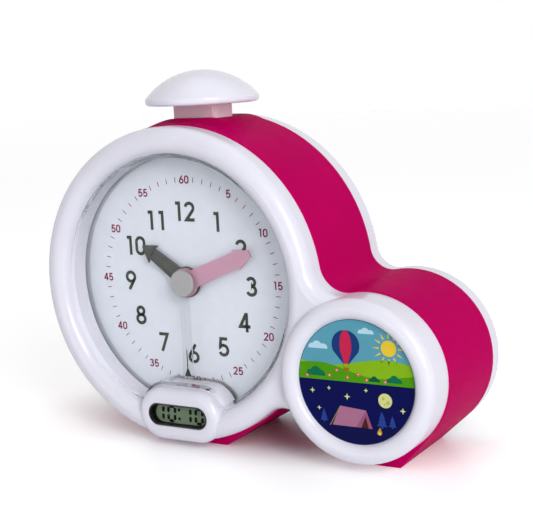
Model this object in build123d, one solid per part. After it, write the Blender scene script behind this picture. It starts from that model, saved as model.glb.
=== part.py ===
from build123d import *
import os
from math import acos, atan2, cos, degrees, hypot, radians, sin, sqrt

# Kids alarm clock with a night light, in millimetres.
# Working frame: the big lobe's centre at x = z = 0, the front seam at y = 0, +Y to the back, +Z up.
# Every node is moved at export so that the origin is the bottom centre of the whole clock.

# ---------------------------------------------------------------- case outline
BIG_R = 72.0            # big lobe at the front seam
RING_WIDTH = 12.0       # big ring, from its outer edge to the lens opening
SMALL_R = 35.5          # small lobe at the front seam
SMALL_RING = 8.9        # width of the small ring
LOBE_GAP = 4.0          # small ring's edge from the edge of the lens opening
SMALL_LIFT = 2.2        # small lobe's lowest line above the surface it stands on
NOTCH_R = 13.0          # round that joins the two lobes, above and below
BAND_DEPTH = 46.0       # coloured band, front seam to rear seam
BAND_FLARE = 2.3        # how much wider the band is at the rear seam
BAND_LIP = 0.6          # how far the band's front edge stands out past the bezel
LIP_ROUND = 0.5
CASE_WALL = 2.4
FOOT_BIG = 19.0         # half width of the foot under the big lobe
FOOT_SMALL = 12.5       # half width of the foot under the small lobe
FOOT_STAND = 0.5        # ground clearance under the widest part of the band

# ---------------------------------------------------------------- front bezel
BEZEL_CREST = 12.0      # big ring's crest in front of the seam
ROLL_FLAT = 0.1         # half of the flat left between the rolls of a ring
SMALL_CREST = 17.0      # small ring's crest in front of the seam
BEZEL_WALL = 2.0
PICTURE_DEPTH = 3.0     # back of the lip that holds the picture, behind the small ring's crest
PICTURE_LEDGE = 1.0     # how far the lip covers the picture's edge
PICTURE_FIT = 0.15
GROOVE_FACE = 4.0       # thickness of the small ring's front over the groove behind it
INNER_WALL_BACK = 4.3   # back edge of the wall round the lens opening
BOSS_R = 2.6
TONGUE_FIT = 0.15       # between the tongue and the band's inside
TONGUE_T = 1.5
TONGUE_DEPTH = 3.0
POD_BACK_INSET = 0.75   # pod's back stands in from the tongue's outside

# ---------------------------------------------------------------- display pod
POD_X = 1.0
POD_INSET = 0.4         # pod's lowest line inside the big ring's outer edge
POD_WIDTH = 44.0
POD_HEIGHT = 24.4
POD_FRONT = 13.4        # pod's face in front of the seam
POD_ROUND = 4.0
POD_WALL = 2.0
POD_FACE = 1.8          # thickness of the pod's face
WINDOW_WIDTH = 32.0
WINDOW_HEIGHT = 10.4
WINDOW_ROUND = 0.8
SHROUD_WALL = 0.6
SHROUD_INSET = 0.5      # shroud's front edge behind the pod's face
SHROUD_FIT = 0.15
SHROUD_FACE = 0.6       # shroud's lip in front of the display's window
LCD_WIDTH = 31.6
LCD_HEIGHT = 13.0
LCD_WINDOW_T = 1.0
LCD_GLASS_T = 2.0
LCD_LIGHT_T = 2.0
LCD_LIGHT_HEIGHT = 9.4
STRIP_T = 1.2
LCD_BOARD_T = 1.6
LCD_BOARD_Y = -1.8
LCD_SCREW_EDGE = 2.3    # display's screws from the pod's inner walls

# ---------------------------------------------------------------- lens and dial
LENS_DEPTH = 4.5        # lens's face behind the big ring's crest
LENS_FIT = 0.25
LENS_ROUND = 1.0
LENS_T = 1.8
LENS_WALL = 1.6
LENS_FLANGE = 1.8       # flange's reach past the lens opening
LENS_FLANGE_T = 1.5
POD_ARCH_GAP = 0.5      # lens and dial stay this far from the pod
POD_ARCH_T = 1.3
DIAL_T = 1.2
CARRIER_T = 2.0
CARRIER_EAR = 4.0       # half width of the ears that take its screws
CARRIER_EAR_FIT = 0.7   # ears' ends from the band's inside
CARRIER_POD_LAP = 1.5   # how far the carrier runs behind the pod's walls
CLIP_T = 1.4            # clips that hold the movement sideways
CLIP_FIT = 0.15
CLIP_HALF = 6.0
CLIP_DEPTH = 6.0
STACK_GAP = 0.1         # between stacked flat pieces

# ---------------------------------------------------------------- hands
HOUR_ANGLE = 304.5      # degrees clockwise from twelve at rest
MINUTE_ANGLE = 67.5
SECOND_ANGLE = 180.0
HOUR_REACH = 28.5
MINUTE_REACH = 38.4
SECOND_CLEAR = 1.0      # second hand's end from the lens's arch
HOUR_HUB_R = 7.2
MINUTE_HUB_R = 6.7
CAP_R = 6.2
CAP_T = 1.5
HAND_T = 1.1
SECOND_HAND_T = 0.8
HAND_GAP = 0.45
HAND_PANEL = 0.35       # depth of the hour hand's recessed panel
HAND_BORDER = 0.8       # width of the border round that panel
SECOND_HALF = 2.6

# ---------------------------------------------------------------- movement
MOVEMENT_HALF = 28.5
MOVEMENT_TOP = 30.0
MOVEMENT_SPLIT = 7.7    # depth of the front half
MOVEMENT_DEPTH = 16.0
MOVEMENT_WALL = 1.4
ARBOR_R = 0.7
TUBE_WALL = 0.82
RUN_GAP = 0.08          # radial running clearance
BUSH_R = 4.0
NUT_R = 5.6
NUT_T = 1.5
POST_R = 0.8
ROTOR_POST_R = 0.5
SET_SHAFT_R = 1.5
TEETH = {
    "seconds": 32, "seconds_pinion": 8,
    "third": 60, "third_pinion": 8,
    "centre": 64, "cannon": 12,
    "minute": 36, "minute_pinion": 10,
    "hour": 40, "set": 12,
    "intermediate": 60, "intermediate_pinion": 8,
    "rotor_pinion": 8,
}
TRAIN_REACH = 14.0      # centre arbor to third wheel
MOTION_REACH = 12.0     # centre arbor to minute wheel
STEP_REACH = 14.0       # centre arbor to intermediate wheel
ROTOR_REACH = 13.6      # intermediate wheel to rotor
THIRD_DIRECTION = 10.0
MINUTE_DIRECTION = 90.0
SET_DIRECTION = 90.0
STEP_DIRECTION = 200.0
ROTOR_DIRECTION = 250.0
GEAR_T = 0.9
ADDENDUM = 0.9          # tooth height above the pitch circle, in modules
DEDENDUM = 1.15         # tooth depth below it
ROOT_HALF = 0.25        # half of a tooth's width at its root, in tooth pitches
TIP_HALF = 0.10
PIVOT = 0.7             # how deep an arbor's end sits in a wall
MAGNET_R = 3.0
MAGNET_T = 2.0
ROTOR_AIR_GAP = 0.5
STATOR_T = 0.8
COIL_R = 3.6
COIL_FLANGE = 0.6       # flanges' reach past the winding
COIL_BACK_GAP = 0.6     # coil from the movement's back wall
COIL_LOW_GAP = 0.4      # coil from the movement's lower wall
COIL_X = (-9.0, 15.0)
COIL_FLANGE_T = 0.8
CORE_SIDE = 2.4

# ---------------------------------------------------------------- night light
PICTURE_T = 1.4
LIGHT_BOX_WALL = 1.5
LIGHT_BOX_BACK = 8.0
LED_R = 2.5
LED_REACH = 9.0         # lamps from the box's middle line
LED_SPREAD = 10.0
LIGHT_SCREW_INSET = 7.75
LED_LENGTH = 6.0
BOARD_T = 1.6

# ---------------------------------------------------------------- top button
BUTTON_Y = 25.0
BUTTON_CAP_R = 26.5
BUTTON_LIFT = 8.4       # cap's underside above the big lobe's top
BUTTON_EDGE = 3.0       # height of the cap's straight edge
BUTTON_DOME = 12.6      # rise of its dome
BUTTON_WALL = 2.2
CAP_EDGE = 1.8
BUTTON_TRAVEL = 3.0
STEM_WIDTH = 24.4
STEM_DEPTH = 15.4
STEM_ROUND = 2.2
STEM_WALL = 1.6
STEM_IN_CAP = 4.6       # how far the stem runs into the cap
STEM_FIT = 0.35
GUIDE_WALL = 2.2
GUIDE_LENGTH = 14.0     # guide tube, down from the big lobe's top
STEM_FLAT_RISE = 2.2    # flat on the band round the stem, above the big lobe's top
STEM_FLAT_EDGE = 0.3    # flat's reach past the guide tube
STEM_FLAT_FRONT = 4.5   # flat rises out of the band this far behind the front seam
STEM_FLAT_GRADE = 0.29  # rise of its front slope per unit of depth
STEM_FLAT_ROUND = 26.0
STOP_REACH = 1.6        # stop flange's reach past the stem
STOP_T = 2.5
STOP_GAP = 0.3
SPRING_R = 5.4
SPRING_WIRE_R = 0.45
SPRING_TURNS = 6
BRACKET_T = 2.0
BRACKET_DROP = 12.0     # bracket's underside below the guide tube
BRACKET_HALF_Y = 11.0
BRACKET_LAP = 4.0       # how far its legs run up beside the guide tube
PLUNGER_R = 2.4

# ---------------------------------------------------------------- rear cover
COVER_DEPTH = 10.0
COVER_ROUND = 3.2
COVER_WALL = 2.4
COVER_STEP = 0.15       # cover stands in from the band's rear edge
BAY_HIGH = -13.0        # top of the battery bay
CELL_PITCH = 15.0
BAY_WALL = 2.0
DOOR_T = 2.0
DOOR_FIT = 0.25
DOOR_LEDGE = 2.5
DOOR_GRIPS = 4
DOOR_GRIP_HALF = 9.0
CELL_R = 7.1
CELL_LENGTH = 50.0
NUB_R = 2.7
NUB_LENGTH = 1.6
CELL_GAP = 0.3
CELLS = 3
CONTACT_T = 0.5
CONTACT_ROOM = 2.5      # between a cell's end and its contact
CONTACT_WIRE_R = 0.3
CONTACT_SPRING_R = 4.0
CONTACT_TURNS = 2.5
KEY_XS = (-27.0, -9.0, 9.0, 27.0)
KEY_Z = 42.0
KEY_WIDTH = 10.0
KEY_HEIGHT = 5.5
KEY_FIT = 0.3
KEY_TRAVEL = 0.6
KEY_RECESS = 1.2
KEY_FLANGE = 1.2
KEY_GAP = 0.1
KEY_RECESS_EDGE = 1.2
SWITCH_SIDE = 6.0
SWITCH_H = 3.5
BOARD_DROP = 13.6       # main board's front face from the cover's inside
BOARD_HALF = 36.0
BOARD_LOW = 30.0
BOARD_HIGH = 50.0
WING_LAP = 2.0          # wings' inner edge inside the board's edge
WING_OUT = 58.0
WING_LOW = 14.0
WING_HIGH = 38.0
BOARD_SCREW_HIGH = 34.0
BOARD_SCREW_LOW = 18.0
BOARD_SCREW_EDGE = 3.0  # screws from the board's side edge, inwards above and outwards on the wings
SLIDER_X = 52.0
SLIDER_Z = 22.0
SLIDER_TRAVEL = 4.0
SLIDER_SIDE = 4.0
SLIDER_FIT = 0.3
SLIDER_RECESS = 1.6
SLIDER_RECESS_EDGE = 1.5
SLIDER_FLANGE = 1.0
SLIDE_SWITCH_H = 4.0
KNOB_R = 9.0
KNOB_RECESS_R = 11.5
KNOB_RECESS = 6.5
KNOB_T = 5.0
KNOB_SINK = 1.0         # knob's face below the cover's back
KNOB_GRIPS = 18
SPEAKER_INSET = 15.5    # loudspeaker's edge from the small lobe's
SPEAKER_T = 5.5
SPEAKER_MAGNET_R = 11.0
SPEAKER_MAGNET_T = 7.5
SPEAKER_FIT = 0.3
GASKET_T = 0.6
GASKET_WIDTH = 2.5
GRILLE_HOLE_R = 1.2
GRILLE_PITCH = 4.6
GRILLE_RINGS = 3
JACK_X = -53.0
JACK_Z = -8.0
JACK_HOLE_R = 2.9
JACK_BODY = 9.0
JACK_PIN_R = 0.65
JACK_DEPTH = 9.5

# ---------------------------------------------------------------- fasteners
POST_OUT_R = 3.4
SCREW_R = 1.4
SCREW_FIT = 0.15
SCREW_HEAD_R = 2.8
SCREW_HEAD_T = 2.0
LONG_SCREW_DIRECTIONS = (52.0, 128.0, 208.0)    # from the big lobe's centre
SHORT_SCREW_DIRECTIONS = (62.0, -38.0)          # from the small lobe's centre
CARRIER_SCREW_DIRECTIONS = (40.0, 140.0, 220.0, 320.0)
LONG_BITE = 7.1         # long screws' reach past the band's posts
SHORT_BITE = 9.5        # short screws' reach into the band
SCREW_SINK = 5.5        # seat of a case screw's head below the cover's back
SLEEVE_R = 4.2
POST_RIB = 2.4
POST_CLEAR = 1.0        # fronts of the band's posts from what lies before them
SMALL_SCREW_R = 1.0
SMALL_SCREW = 5.0
SMALL_HEAD_R = 2.0
SMALL_HEAD_T = 1.3

# ---------------------------------------------------------------- derived places
LENS_OPENING_R = BIG_R - RING_WIDTH
BEZEL_ROUND = RING_WIDTH / 2 - ROLL_FLAT
PICTURE_VIEW_R = SMALL_R - SMALL_RING
SMALL_ROUND = SMALL_RING / 2 - ROLL_FLAT
PICTURE_LIP_Y = PICTURE_DEPTH - SMALL_CREST
LENS_FRONT = LENS_DEPTH - BEZEL_CREST
LENS_FLANGE_R = LENS_OPENING_R + LENS_FLANGE
REAR_SEAM = BAND_DEPTH
CASE_BACK = BAND_DEPTH + COVER_DEPTH
FLOOR_Z = -(BIG_R + BAND_FLARE + FOOT_STAND)
SMALL_Z = FLOOR_Z + SMALL_LIFT + BAND_FLARE + SMALL_R
SMALL_X = sqrt((LENS_OPENING_R + LOBE_GAP + SMALL_R) ** 2 - SMALL_Z**2)
POD_Z = POD_INSET + POD_HEIGHT / 2 - BIG_R
SHIFT = Vector(
    -(SMALL_X + SMALL_R - BIG_R) / 2,
    -(CASE_BACK - SMALL_CREST) / 2,
    -FLOOR_Z,
)
LENS_FLANGE_Y = INNER_WALL_BACK + STACK_GAP
DIAL_Y = LENS_FLANGE_Y + LENS_FLANGE_T + STACK_GAP
CARRIER_Y = DIAL_Y + DIAL_T + STACK_GAP
MOVEMENT_Y = CARRIER_Y + CARRIER_T + STACK_GAP
MOVEMENT_BACK = MOVEMENT_Y + MOVEMENT_DEPTH
NUT_Y = DIAL_Y - NUT_T
HOUR_HAND_Y = NUT_Y - HAND_GAP - HAND_T
MINUTE_HAND_Y = HOUR_HAND_Y - HAND_GAP - HAND_T
SECOND_HAND_Y = MINUTE_HAND_Y - HAND_GAP - SECOND_HAND_T
CAP_Y = SECOND_HAND_Y - CAP_T
CANNON_R = ARBOR_R + RUN_GAP + TUBE_WALL
HOUR_TUBE_R = CANNON_R + RUN_GAP + TUBE_WALL
RING_MID_R = (LENS_OPENING_R + BIG_R) / 2
COVER_INSIDE = CASE_BACK - COVER_WALL
TONGUE_GROW = BAND_LIP - CASE_WALL - TONGUE_FIT
TONGUE_R = BIG_R + TONGUE_GROW - POD_BACK_INSET
CARRIER_REACH = BIG_R + BAND_LIP - CASE_WALL - CARRIER_EAR_FIT
SECOND_REACH = -POD_Z - POD_HEIGHT / 2 - POD_ARCH_GAP - POD_ARCH_T - SECOND_CLEAR
SCREW_INSET = CASE_WALL + POST_OUT_R + 1.5
LONG_POST_Y = CARRIER_Y + CARRIER_T + POST_CLEAR
SHORT_POST_Y = LIGHT_BOX_BACK + BOARD_T + SMALL_HEAD_T + POST_CLEAR
SCREW_SEAT = CASE_BACK - SCREW_SINK
LONG_SCREW = SCREW_SEAT - LONG_POST_Y + LONG_BITE
SHORT_SCREW = SCREW_SEAT - BAND_DEPTH + SHORT_BITE
PICTURE_WELL_R = PICTURE_VIEW_R + PICTURE_LEDGE + PICTURE_FIT
PICTURE_Y = PICTURE_LIP_Y + STACK_GAP / 2
LIGHT_BOX_Y = PICTURE_Y + PICTURE_T + STACK_GAP / 2
LIGHT_SCREW_REACH = PICTURE_WELL_R - LIGHT_SCREW_INSET
LCD_SCREW_REACH = POD_WIDTH / 2 - POD_WALL - LCD_SCREW_EDGE
SHROUD_Y = -POD_FRONT + POD_FACE + STACK_GAP
LCD_WINDOW_Y = SHROUD_Y + SHROUD_FACE + STACK_GAP
LCD_GLASS_Y = LCD_WINDOW_Y + LCD_WINDOW_T + STACK_GAP
LCD_LIGHT_Y = LCD_GLASS_Y + LCD_GLASS_T + STACK_GAP
BUTTON_UNDER = BIG_R + BUTTON_LIFT
BUTTON_RIM = BUTTON_UNDER + BUTTON_EDGE
BUTTON_TOP = BUTTON_RIM + BUTTON_DOME
STEM_TOP = BUTTON_UNDER + STEM_IN_CAP
GUIDE_LOW = BIG_R - GUIDE_LENGTH
BRACKET_Z = GUIDE_LOW - BRACKET_DROP
SWITCH_TOP = BRACKET_Z + BRACKET_T + SWITCH_H
BAY_HALF = CELL_LENGTH / 2 + CONTACT_ROOM + CONTACT_T
BAY_LOW = BAY_HIGH - CELLS * CELL_PITCH
BAY_FLOOR = CASE_BACK - DOOR_T - CELL_GAP - 2 * CELL_R - STACK_GAP
CELL_Y = BAY_FLOOR + STACK_GAP + CELL_R
BOARD_Y = COVER_INSIDE - BOARD_DROP
BOARD_BACK = BOARD_Y + BOARD_T
SPEAKER_R = SMALL_R - SPEAKER_INSET
KEY_BACK = COVER_INSIDE - KEY_GAP
KEY_FACE = CASE_BACK - STACK_GAP
KEY_SWITCH_TOP = BOARD_BACK + SWITCH_H
SLIDE_SWITCH_TOP = BOARD_BACK + SLIDE_SWITCH_H
KNOB_FLOOR = CASE_BACK - KNOB_RECESS
KNOB_BACK = CASE_BACK - KNOB_SINK
SPEAKER_FRONT = COVER_INSIDE - GASKET_T
SPEAKER_Y = SPEAKER_FRONT - SPEAKER_T
FRONT_WALL_BACK = MOVEMENT_Y + MOVEMENT_WALL
BACK_WALL_FRONT = MOVEMENT_BACK - MOVEMENT_WALL
COIL_Y = BACK_WALL_FRONT - COIL_BACK_GAP - COIL_FLANGE - COIL_R
COIL_Z = MOVEMENT_WALL - MOVEMENT_HALF + COIL_LOW_GAP + COIL_FLANGE + COIL_R
HOUR_WHEEL_Y = FRONT_WALL_BACK + 0.2
CANNON_Y = HOUR_WHEEL_Y + GEAR_T + 0.5
CENTRE_Y = CANNON_Y + GEAR_T + 0.7
THIRD_Y = CENTRE_Y + GEAR_T + 1.0
SECONDS_Y = THIRD_Y + GEAR_T + 1.0
STEP_Y = SECONDS_Y + GEAR_T + 0.6
MAGNET_Y = STEP_Y + GEAR_T + 0.6


# ================================================================ small helpers
def post(radius, y0, y1, x=0.0, z=0.0):
    """Cylinder along Y."""
    return Pos(x, (y0 + y1) / 2, z) * Rot(-90, 0, 0) * Cylinder(radius, y1 - y0)


def upright(radius, z0, z1, x=0.0, y=0.0):
    """Cylinder along Z."""
    return Pos(x, y, (z0 + z1) / 2) * Cylinder(radius, z1 - z0)


def tube(outer, inner, y0, y1, x=0.0, z=0.0):
    """Ring along Y."""
    return post(outer, y0, y1, x, z) - post(inner, y0 - 1, y1 + 1, x, z)


def block(x0, x1, y0, y1, z0, z1):
    """Box between two corners."""
    size = (x1 - x0, y1 - y0, z1 - z0)
    return Pos((x0 + x1) / 2, (y0 + y1) / 2, (z0 + z1) / 2) * Box(*size)


def plate(outline, y0, y1):
    """Sketch in the XZ plane, thickened from y0 back to y1."""
    return extrude(Plane.XZ.offset(-y1) * outline, y1 - y0)


def stadium(width, height, x=0.0, z=0.0):
    """Round-ended slot shape in the XZ plane."""
    return Pos(x, z) * SlotOverall(width, height)


def polar(radius, angle, x=0.0, z=0.0):
    """Point at a direction in the XZ plane, counter-clockwise from +X."""
    return (x + radius * cos(radians(angle)), z + radius * sin(radians(angle)))


def direction(a, b):
    return degrees(atan2(b[1] - a[1], b[0] - a[0]))


def joined(shapes):
    """One shape out of a list, solid by solid."""
    result = shapes[0]
    for shape in shapes[1:]:
        result = result + shape
    return result


def group(shapes):
    """Separate solids kept side by side in one node."""
    return Compound([solid for shape in shapes for solid in shape.solids()])


def edges_at(shape, y, tolerance=0.01):
    """Edges that lie wholly in the plane at y."""
    chosen = []
    for edge in shape.edges():
        box = edge.bounding_box()
        if abs(box.min.Y - y) < tolerance and abs(box.max.Y - y) < tolerance:
            chosen.append(edge)
    return chosen


def within(edges, radius, x=0.0, z=0.0, slack=0.4):
    """Edges whose middle lies at most this far from a centre."""
    chosen = []
    for edge in edges:
        middle = edge.position_at(0.5)
        if hypot(middle.X - x, middle.Z - z) < radius + slack:
            chosen.append(edge)
    return chosen


def framed(edges, width, height, x=0.0, z=0.0):
    """Edges whose middle lies in an upright rectangle round a centre."""
    chosen = []
    for edge in edges:
        middle = edge.position_at(0.5)
        if abs(middle.X - x) < width / 2 + 0.1 and abs(middle.Z - z) < height / 2 + 0.1:
            chosen.append(edge)
    return chosen


# ================================================================ case outline
BIG = (0.0, 0.0)
SMALL = (SMALL_X, SMALL_Z)


def notch_centre(side):
    """Centre of the round between the lobes: side +1 above, -1 below."""
    span = hypot(SMALL_X, SMALL_Z)
    from_big = BIG_R + NOTCH_R
    from_small = SMALL_R + NOTCH_R
    along = (from_big**2 - from_small**2 + span**2) / (2 * span)
    across = side * sqrt(from_big**2 - along**2)
    ux, uz = SMALL_X / span, SMALL_Z / span
    return (ux * along - uz * across, uz * along + ux * across)


def foot_tangent(radius, half_width, floor, side):
    """Direction from a lobe's centre to where the foot's slope leaves the lobe."""
    reach = hypot(half_width, floor)
    return degrees(atan2(floor, side * half_width)) + side * degrees(acos(radius / reach))


def case_outline(grow, feet=False):
    """Figure-eight outline, grown outwards, with or without the two feet."""
    up = notch_centre(1)
    low = notch_centre(-1)
    big_r = BIG_R + grow
    small_r = SMALL_R + grow
    notch_r = NOTCH_R - grow
    big_up = direction(BIG, up)
    big_low = direction(BIG, low)
    small_up = direction(SMALL, up)
    small_low = direction(SMALL, low) - 360 * (direction(SMALL, low) > 0)
    notch_turn = big_up - small_up
    edges = [
        CenterArc(low, notch_r, big_low + 180, notch_turn),
        CenterArc(up, notch_r, small_up + 180, notch_turn),
    ]
    if not feet:
        edges.append(CenterArc(BIG, big_r, big_up, big_low + 360 - big_up))
        edges.append(CenterArc(SMALL, small_r, small_low, small_up - small_low))
        return make_face(edges)
    lobes = (
        (BIG, big_r, FOOT_BIG, FLOOR_Z, big_up, big_low),
        (SMALL, small_r, FOOT_SMALL, FLOOR_Z - SMALL_Z, small_up, small_low),
    )
    for centre, radius, half, floor, up_dir, low_dir in lobes:
        right = foot_tangent(radius, half, floor, 1)
        left = foot_tangent(radius, half, floor, -1)
        start, end = (up_dir, low_dir) if centre == BIG else (low_dir, up_dir)
        if centre == BIG:
            edges.append(CenterArc(centre, radius, start, left + 360 - start))
            edges.append(CenterArc(centre, radius, right, end - right))
        else:
            edges.append(CenterArc(centre, radius, start, left - start))
            edges.append(CenterArc(centre, radius, right, end - right))
        x, z = centre
        corners = ((x - half, z + floor), (x + half, z + floor))
        edges.append(Line(polar(radius, left, x, z), corners[0]))
        edges.append(Line(corners[0], corners[1]))
        edges.append(Line(corners[1], polar(radius, right, x, z)))
    return make_face(edges)


def big_screw_places():
    """Axes of the long case screws, round the big lobe."""
    return [polar(BIG_R - SCREW_INSET, a) for a in LONG_SCREW_DIRECTIONS]


def small_screw_places():
    """Axes of the short case screws, round the small lobe."""
    return [polar(SMALL_R - SCREW_INSET, a, *SMALL) for a in SHORT_SCREW_DIRECTIONS]


def carrier_screw_places():
    """Axes of the screws that hold the dial carrier to the bezel."""
    return [polar(RING_MID_R, a) for a in CARRIER_SCREW_DIRECTIONS]


# ================================================================ front bezel
def rolled_front():
    """Outer form of the bezel: rolled rim, web between the lobes and the raised small ring."""
    body = plate(case_outline(0), -BEZEL_CREST, 0)
    body -= post(LENS_OPENING_R, -BEZEL_CREST - 1, 1)
    body = fillet(edges_at(body, -BEZEL_CREST), BEZEL_ROUND)
    ring = post(SMALL_R, -SMALL_CREST, 0, *SMALL)
    ring = fillet(edges_at(ring, -SMALL_CREST), SMALL_ROUND)
    return body + ring


def bezel_hollow():
    """Space behind the bezel's skin, round the walls of its two openings."""
    depth = BEZEL_CREST - BEZEL_WALL
    space = plate(case_outline(-BEZEL_WALL), -depth, 1)
    space -= post(LENS_OPENING_R + BEZEL_WALL, -BEZEL_CREST, 2)
    space = fillet(edges_at(space, -depth), BEZEL_ROUND - BEZEL_WALL)
    space -= post(PICTURE_WELL_R + BEZEL_WALL, -SMALL_CREST, 2, *SMALL)
    return space


def pod_shell():
    """Outer form of the display pod; its back part stays inside the band."""
    outline = stadium(POD_WIDTH, POD_HEIGHT, POD_X, POD_Z)
    front = plate(outline, -POD_FRONT, 0)
    front = fillet(edges_at(front, -POD_FRONT), POD_ROUND)
    back = plate(outline, -1, INNER_WALL_BACK) & post(TONGUE_R, -1, INNER_WALL_BACK)
    return front + back


def pod_hollow():
    """Space inside the pod for the display."""
    outline = stadium(POD_WIDTH - 2 * POD_WALL, POD_HEIGHT - 2 * POD_WALL, POD_X, POD_Z)
    front = plate(outline, -POD_FRONT + POD_FACE, 0)
    back = plate(outline, -1, INNER_WALL_BACK + 1) & post(TONGUE_R - POD_WALL, -1, INNER_WALL_BACK + 1)
    return front + back


def bezel_tongue():
    """Rim behind the bezel that centres it in the band."""
    outer = plate(case_outline(TONGUE_GROW), -TONGUE_DEPTH, TONGUE_DEPTH)
    return outer - plate(case_outline(TONGUE_GROW - TONGUE_T), -BEZEL_CREST, TONGUE_DEPTH + 1)


def bezel_bosses():
    """Bosses inside the big ring for the carrier's screws and the long case screws."""
    depth = BEZEL_CREST - BEZEL_WALL
    back = CARRIER_Y - STACK_GAP
    bosses = [tube(BOSS_R, SMALL_SCREW_R, -depth, back, *p) for p in carrier_screw_places()]
    back = LONG_POST_Y - STACK_GAP
    bosses += [tube(BOSS_R, SCREW_R, -depth, back, *p) for p in big_screw_places()]
    return joined(bosses)


def front_bezel():
    """White front frame with both openings, the pod, the tongue and the bosses."""
    body = rolled_front() - bezel_hollow()
    body += tube(LENS_OPENING_R + BEZEL_WALL, LENS_OPENING_R, -BEZEL_CREST / 2, INNER_WALL_BACK)
    body += bezel_tongue()
    body += bezel_bosses()
    body += pod_shell()
    body -= pod_hollow()
    body -= plate(stadium(WINDOW_WIDTH, WINDOW_HEIGHT, POD_X, POD_Z), -POD_FRONT - 1, 0)
    rim = framed(edges_at(body, -POD_FRONT), WINDOW_WIDTH, WINDOW_HEIGHT, POD_X, POD_Z)
    body = fillet(rim, WINDOW_ROUND)
    body -= post(PICTURE_VIEW_R, -SMALL_CREST - 1, 1, *SMALL)
    rim = within(edges_at(body, -SMALL_CREST), PICTURE_VIEW_R, *SMALL)
    body = fillet(rim, SMALL_ROUND - 0.1)
    body -= post(PICTURE_WELL_R, PICTURE_LIP_Y, 1, *SMALL)
    groove = PICTURE_WELL_R + BEZEL_WALL
    body -= tube(SMALL_R - BEZEL_WALL, groove, -SMALL_CREST + GROOVE_FACE, 1, *SMALL)
    return body


# ================================================================ lens, dial and carrier
def pod_cut(gap, y0, y1):
    """Space that a round plate leaves for the pod, open towards the case wall."""
    outline = stadium(POD_WIDTH + 2 * gap, POD_HEIGHT + 2 * gap, POD_X, POD_Z)
    return plate(outline, y0, y1)


def boss_notches(y0, y1):
    """Room for the bezel's long bosses in the plates behind the lens opening."""
    return [post(BOSS_R + STACK_GAP, y0, y1, *place) for place in big_screw_places()]


def clock_lens():
    """Clear cup over the dial: face, side wall, rear flange and the arch round the pod."""
    radius = LENS_OPENING_R - LENS_FIT
    back = LENS_FLANGE_Y + LENS_FLANGE_T
    body = post(radius, LENS_FRONT, back)
    body = fillet(edges_at(body, LENS_FRONT), LENS_ROUND)
    body += post(LENS_FLANGE_R, LENS_FLANGE_Y, back)
    space = post(radius - LENS_WALL, LENS_FRONT + LENS_T, back + 1)
    space -= pod_cut(POD_ARCH_GAP + POD_ARCH_T, LENS_FRONT, back + 2)
    body -= space
    for notch in boss_notches(LENS_FLANGE_Y, back):
        body -= notch
    return body - pod_cut(POD_ARCH_GAP, LENS_FRONT - 1, back + 1)


def dial_plate():
    """Printed dial, notched round the pod."""
    body = tube(LENS_FLANGE_R, BUSH_R + 0.2, DIAL_Y, DIAL_Y + DIAL_T)
    for notch in boss_notches(DIAL_Y, DIAL_Y + DIAL_T):
        body -= notch
    return body - pod_cut(POD_ARCH_GAP, DIAL_Y - 1, DIAL_Y + DIAL_T + 1)


def dial_carrier():
    """White plate behind the dial that holds the movement, with ears for its screws."""
    back = CARRIER_Y + CARRIER_T
    body = tube(LENS_FLANGE_R, BUSH_R + 0.3, CARRIER_Y, back)
    for angle in CARRIER_SCREW_DIRECTIONS:
        ear = block(LENS_OPENING_R - 4, RING_MID_R + CARRIER_EAR, CARRIER_Y, back, -CARRIER_EAR, CARRIER_EAR)
        body += Rot(0, -angle, 0) * ear
    for place in carrier_screw_places():
        body -= post(SMALL_SCREW_R + SCREW_FIT, CARRIER_Y - 1, back + 1, *place)
    body &= post(CARRIER_REACH, CARRIER_Y - 1, back + 1)
    for notch in boss_notches(CARRIER_Y, back):
        body -= notch
    body -= pod_cut(-CARRIER_POD_LAP, CARRIER_Y - 1, back + 1)
    width = 2 * MOVEMENT_HALF + 2 * CLIP_FIT
    for side in (-1, 1):
        x = side * (width / 2 + CLIP_T / 2)
        x0, x1 = x - CLIP_T / 2, x + CLIP_T / 2
        body += block(x0, x1, back - 0.5, MOVEMENT_Y + CLIP_DEPTH, -CLIP_HALF, CLIP_HALF)
    return body


# ================================================================ hands
def pointing(shape, angle):
    """Turn a hand drawn at twelve clockwise by an angle."""
    return Rot(0, angle, 0) * shape


def arrow_outline(hub_r, reach, root_half, neck_half, barb_half, head, tip_half):
    """Arrow hand in the XZ plane, pointing at twelve."""
    neck = reach - head
    points = [
        (root_half, 0), (neck_half, neck), (barb_half, neck - 0.6), (tip_half, reach),
        (-tip_half, reach), (-barb_half, neck - 0.6), (-neck_half, neck), (-root_half, 0),
    ]
    return Polygon(*points, align=None) + Circle(hub_r)


def hour_hand():
    """Short dark arrow with a raised border."""
    y1 = HOUR_HAND_Y + HAND_T
    body = plate(arrow_outline(HOUR_HUB_R, HOUR_REACH, 4.1, 2.8, 4.9, 6.2, 0.4), HOUR_HAND_Y, y1)
    border = HAND_BORDER
    panel = Polygon(
        (3.9 - border, HOUR_HUB_R + 0.5), (2.8 - border, HOUR_REACH - 6.2),
        (-2.8 + border, HOUR_REACH - 6.2), (-3.9 + border, HOUR_HUB_R + 0.5), align=None,
    )
    body -= plate(panel, HOUR_HAND_Y - 1, HOUR_HAND_Y + HAND_PANEL)
    body -= post(HOUR_TUBE_R, HOUR_HAND_Y - 1, y1 + 1)
    return pointing(body, HOUR_ANGLE)


def minute_hand():
    """Long translucent arrow with a blunt tip."""
    y1 = MINUTE_HAND_Y + HAND_T
    outline = arrow_outline(MINUTE_HUB_R, MINUTE_REACH, 4.2, 3.7, 4.8, 7.4, 1.5)
    body = plate(outline, MINUTE_HAND_Y, y1) - post(CANNON_R, MINUTE_HAND_Y - 1, y1 + 1)
    return pointing(body, MINUTE_ANGLE)


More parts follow.
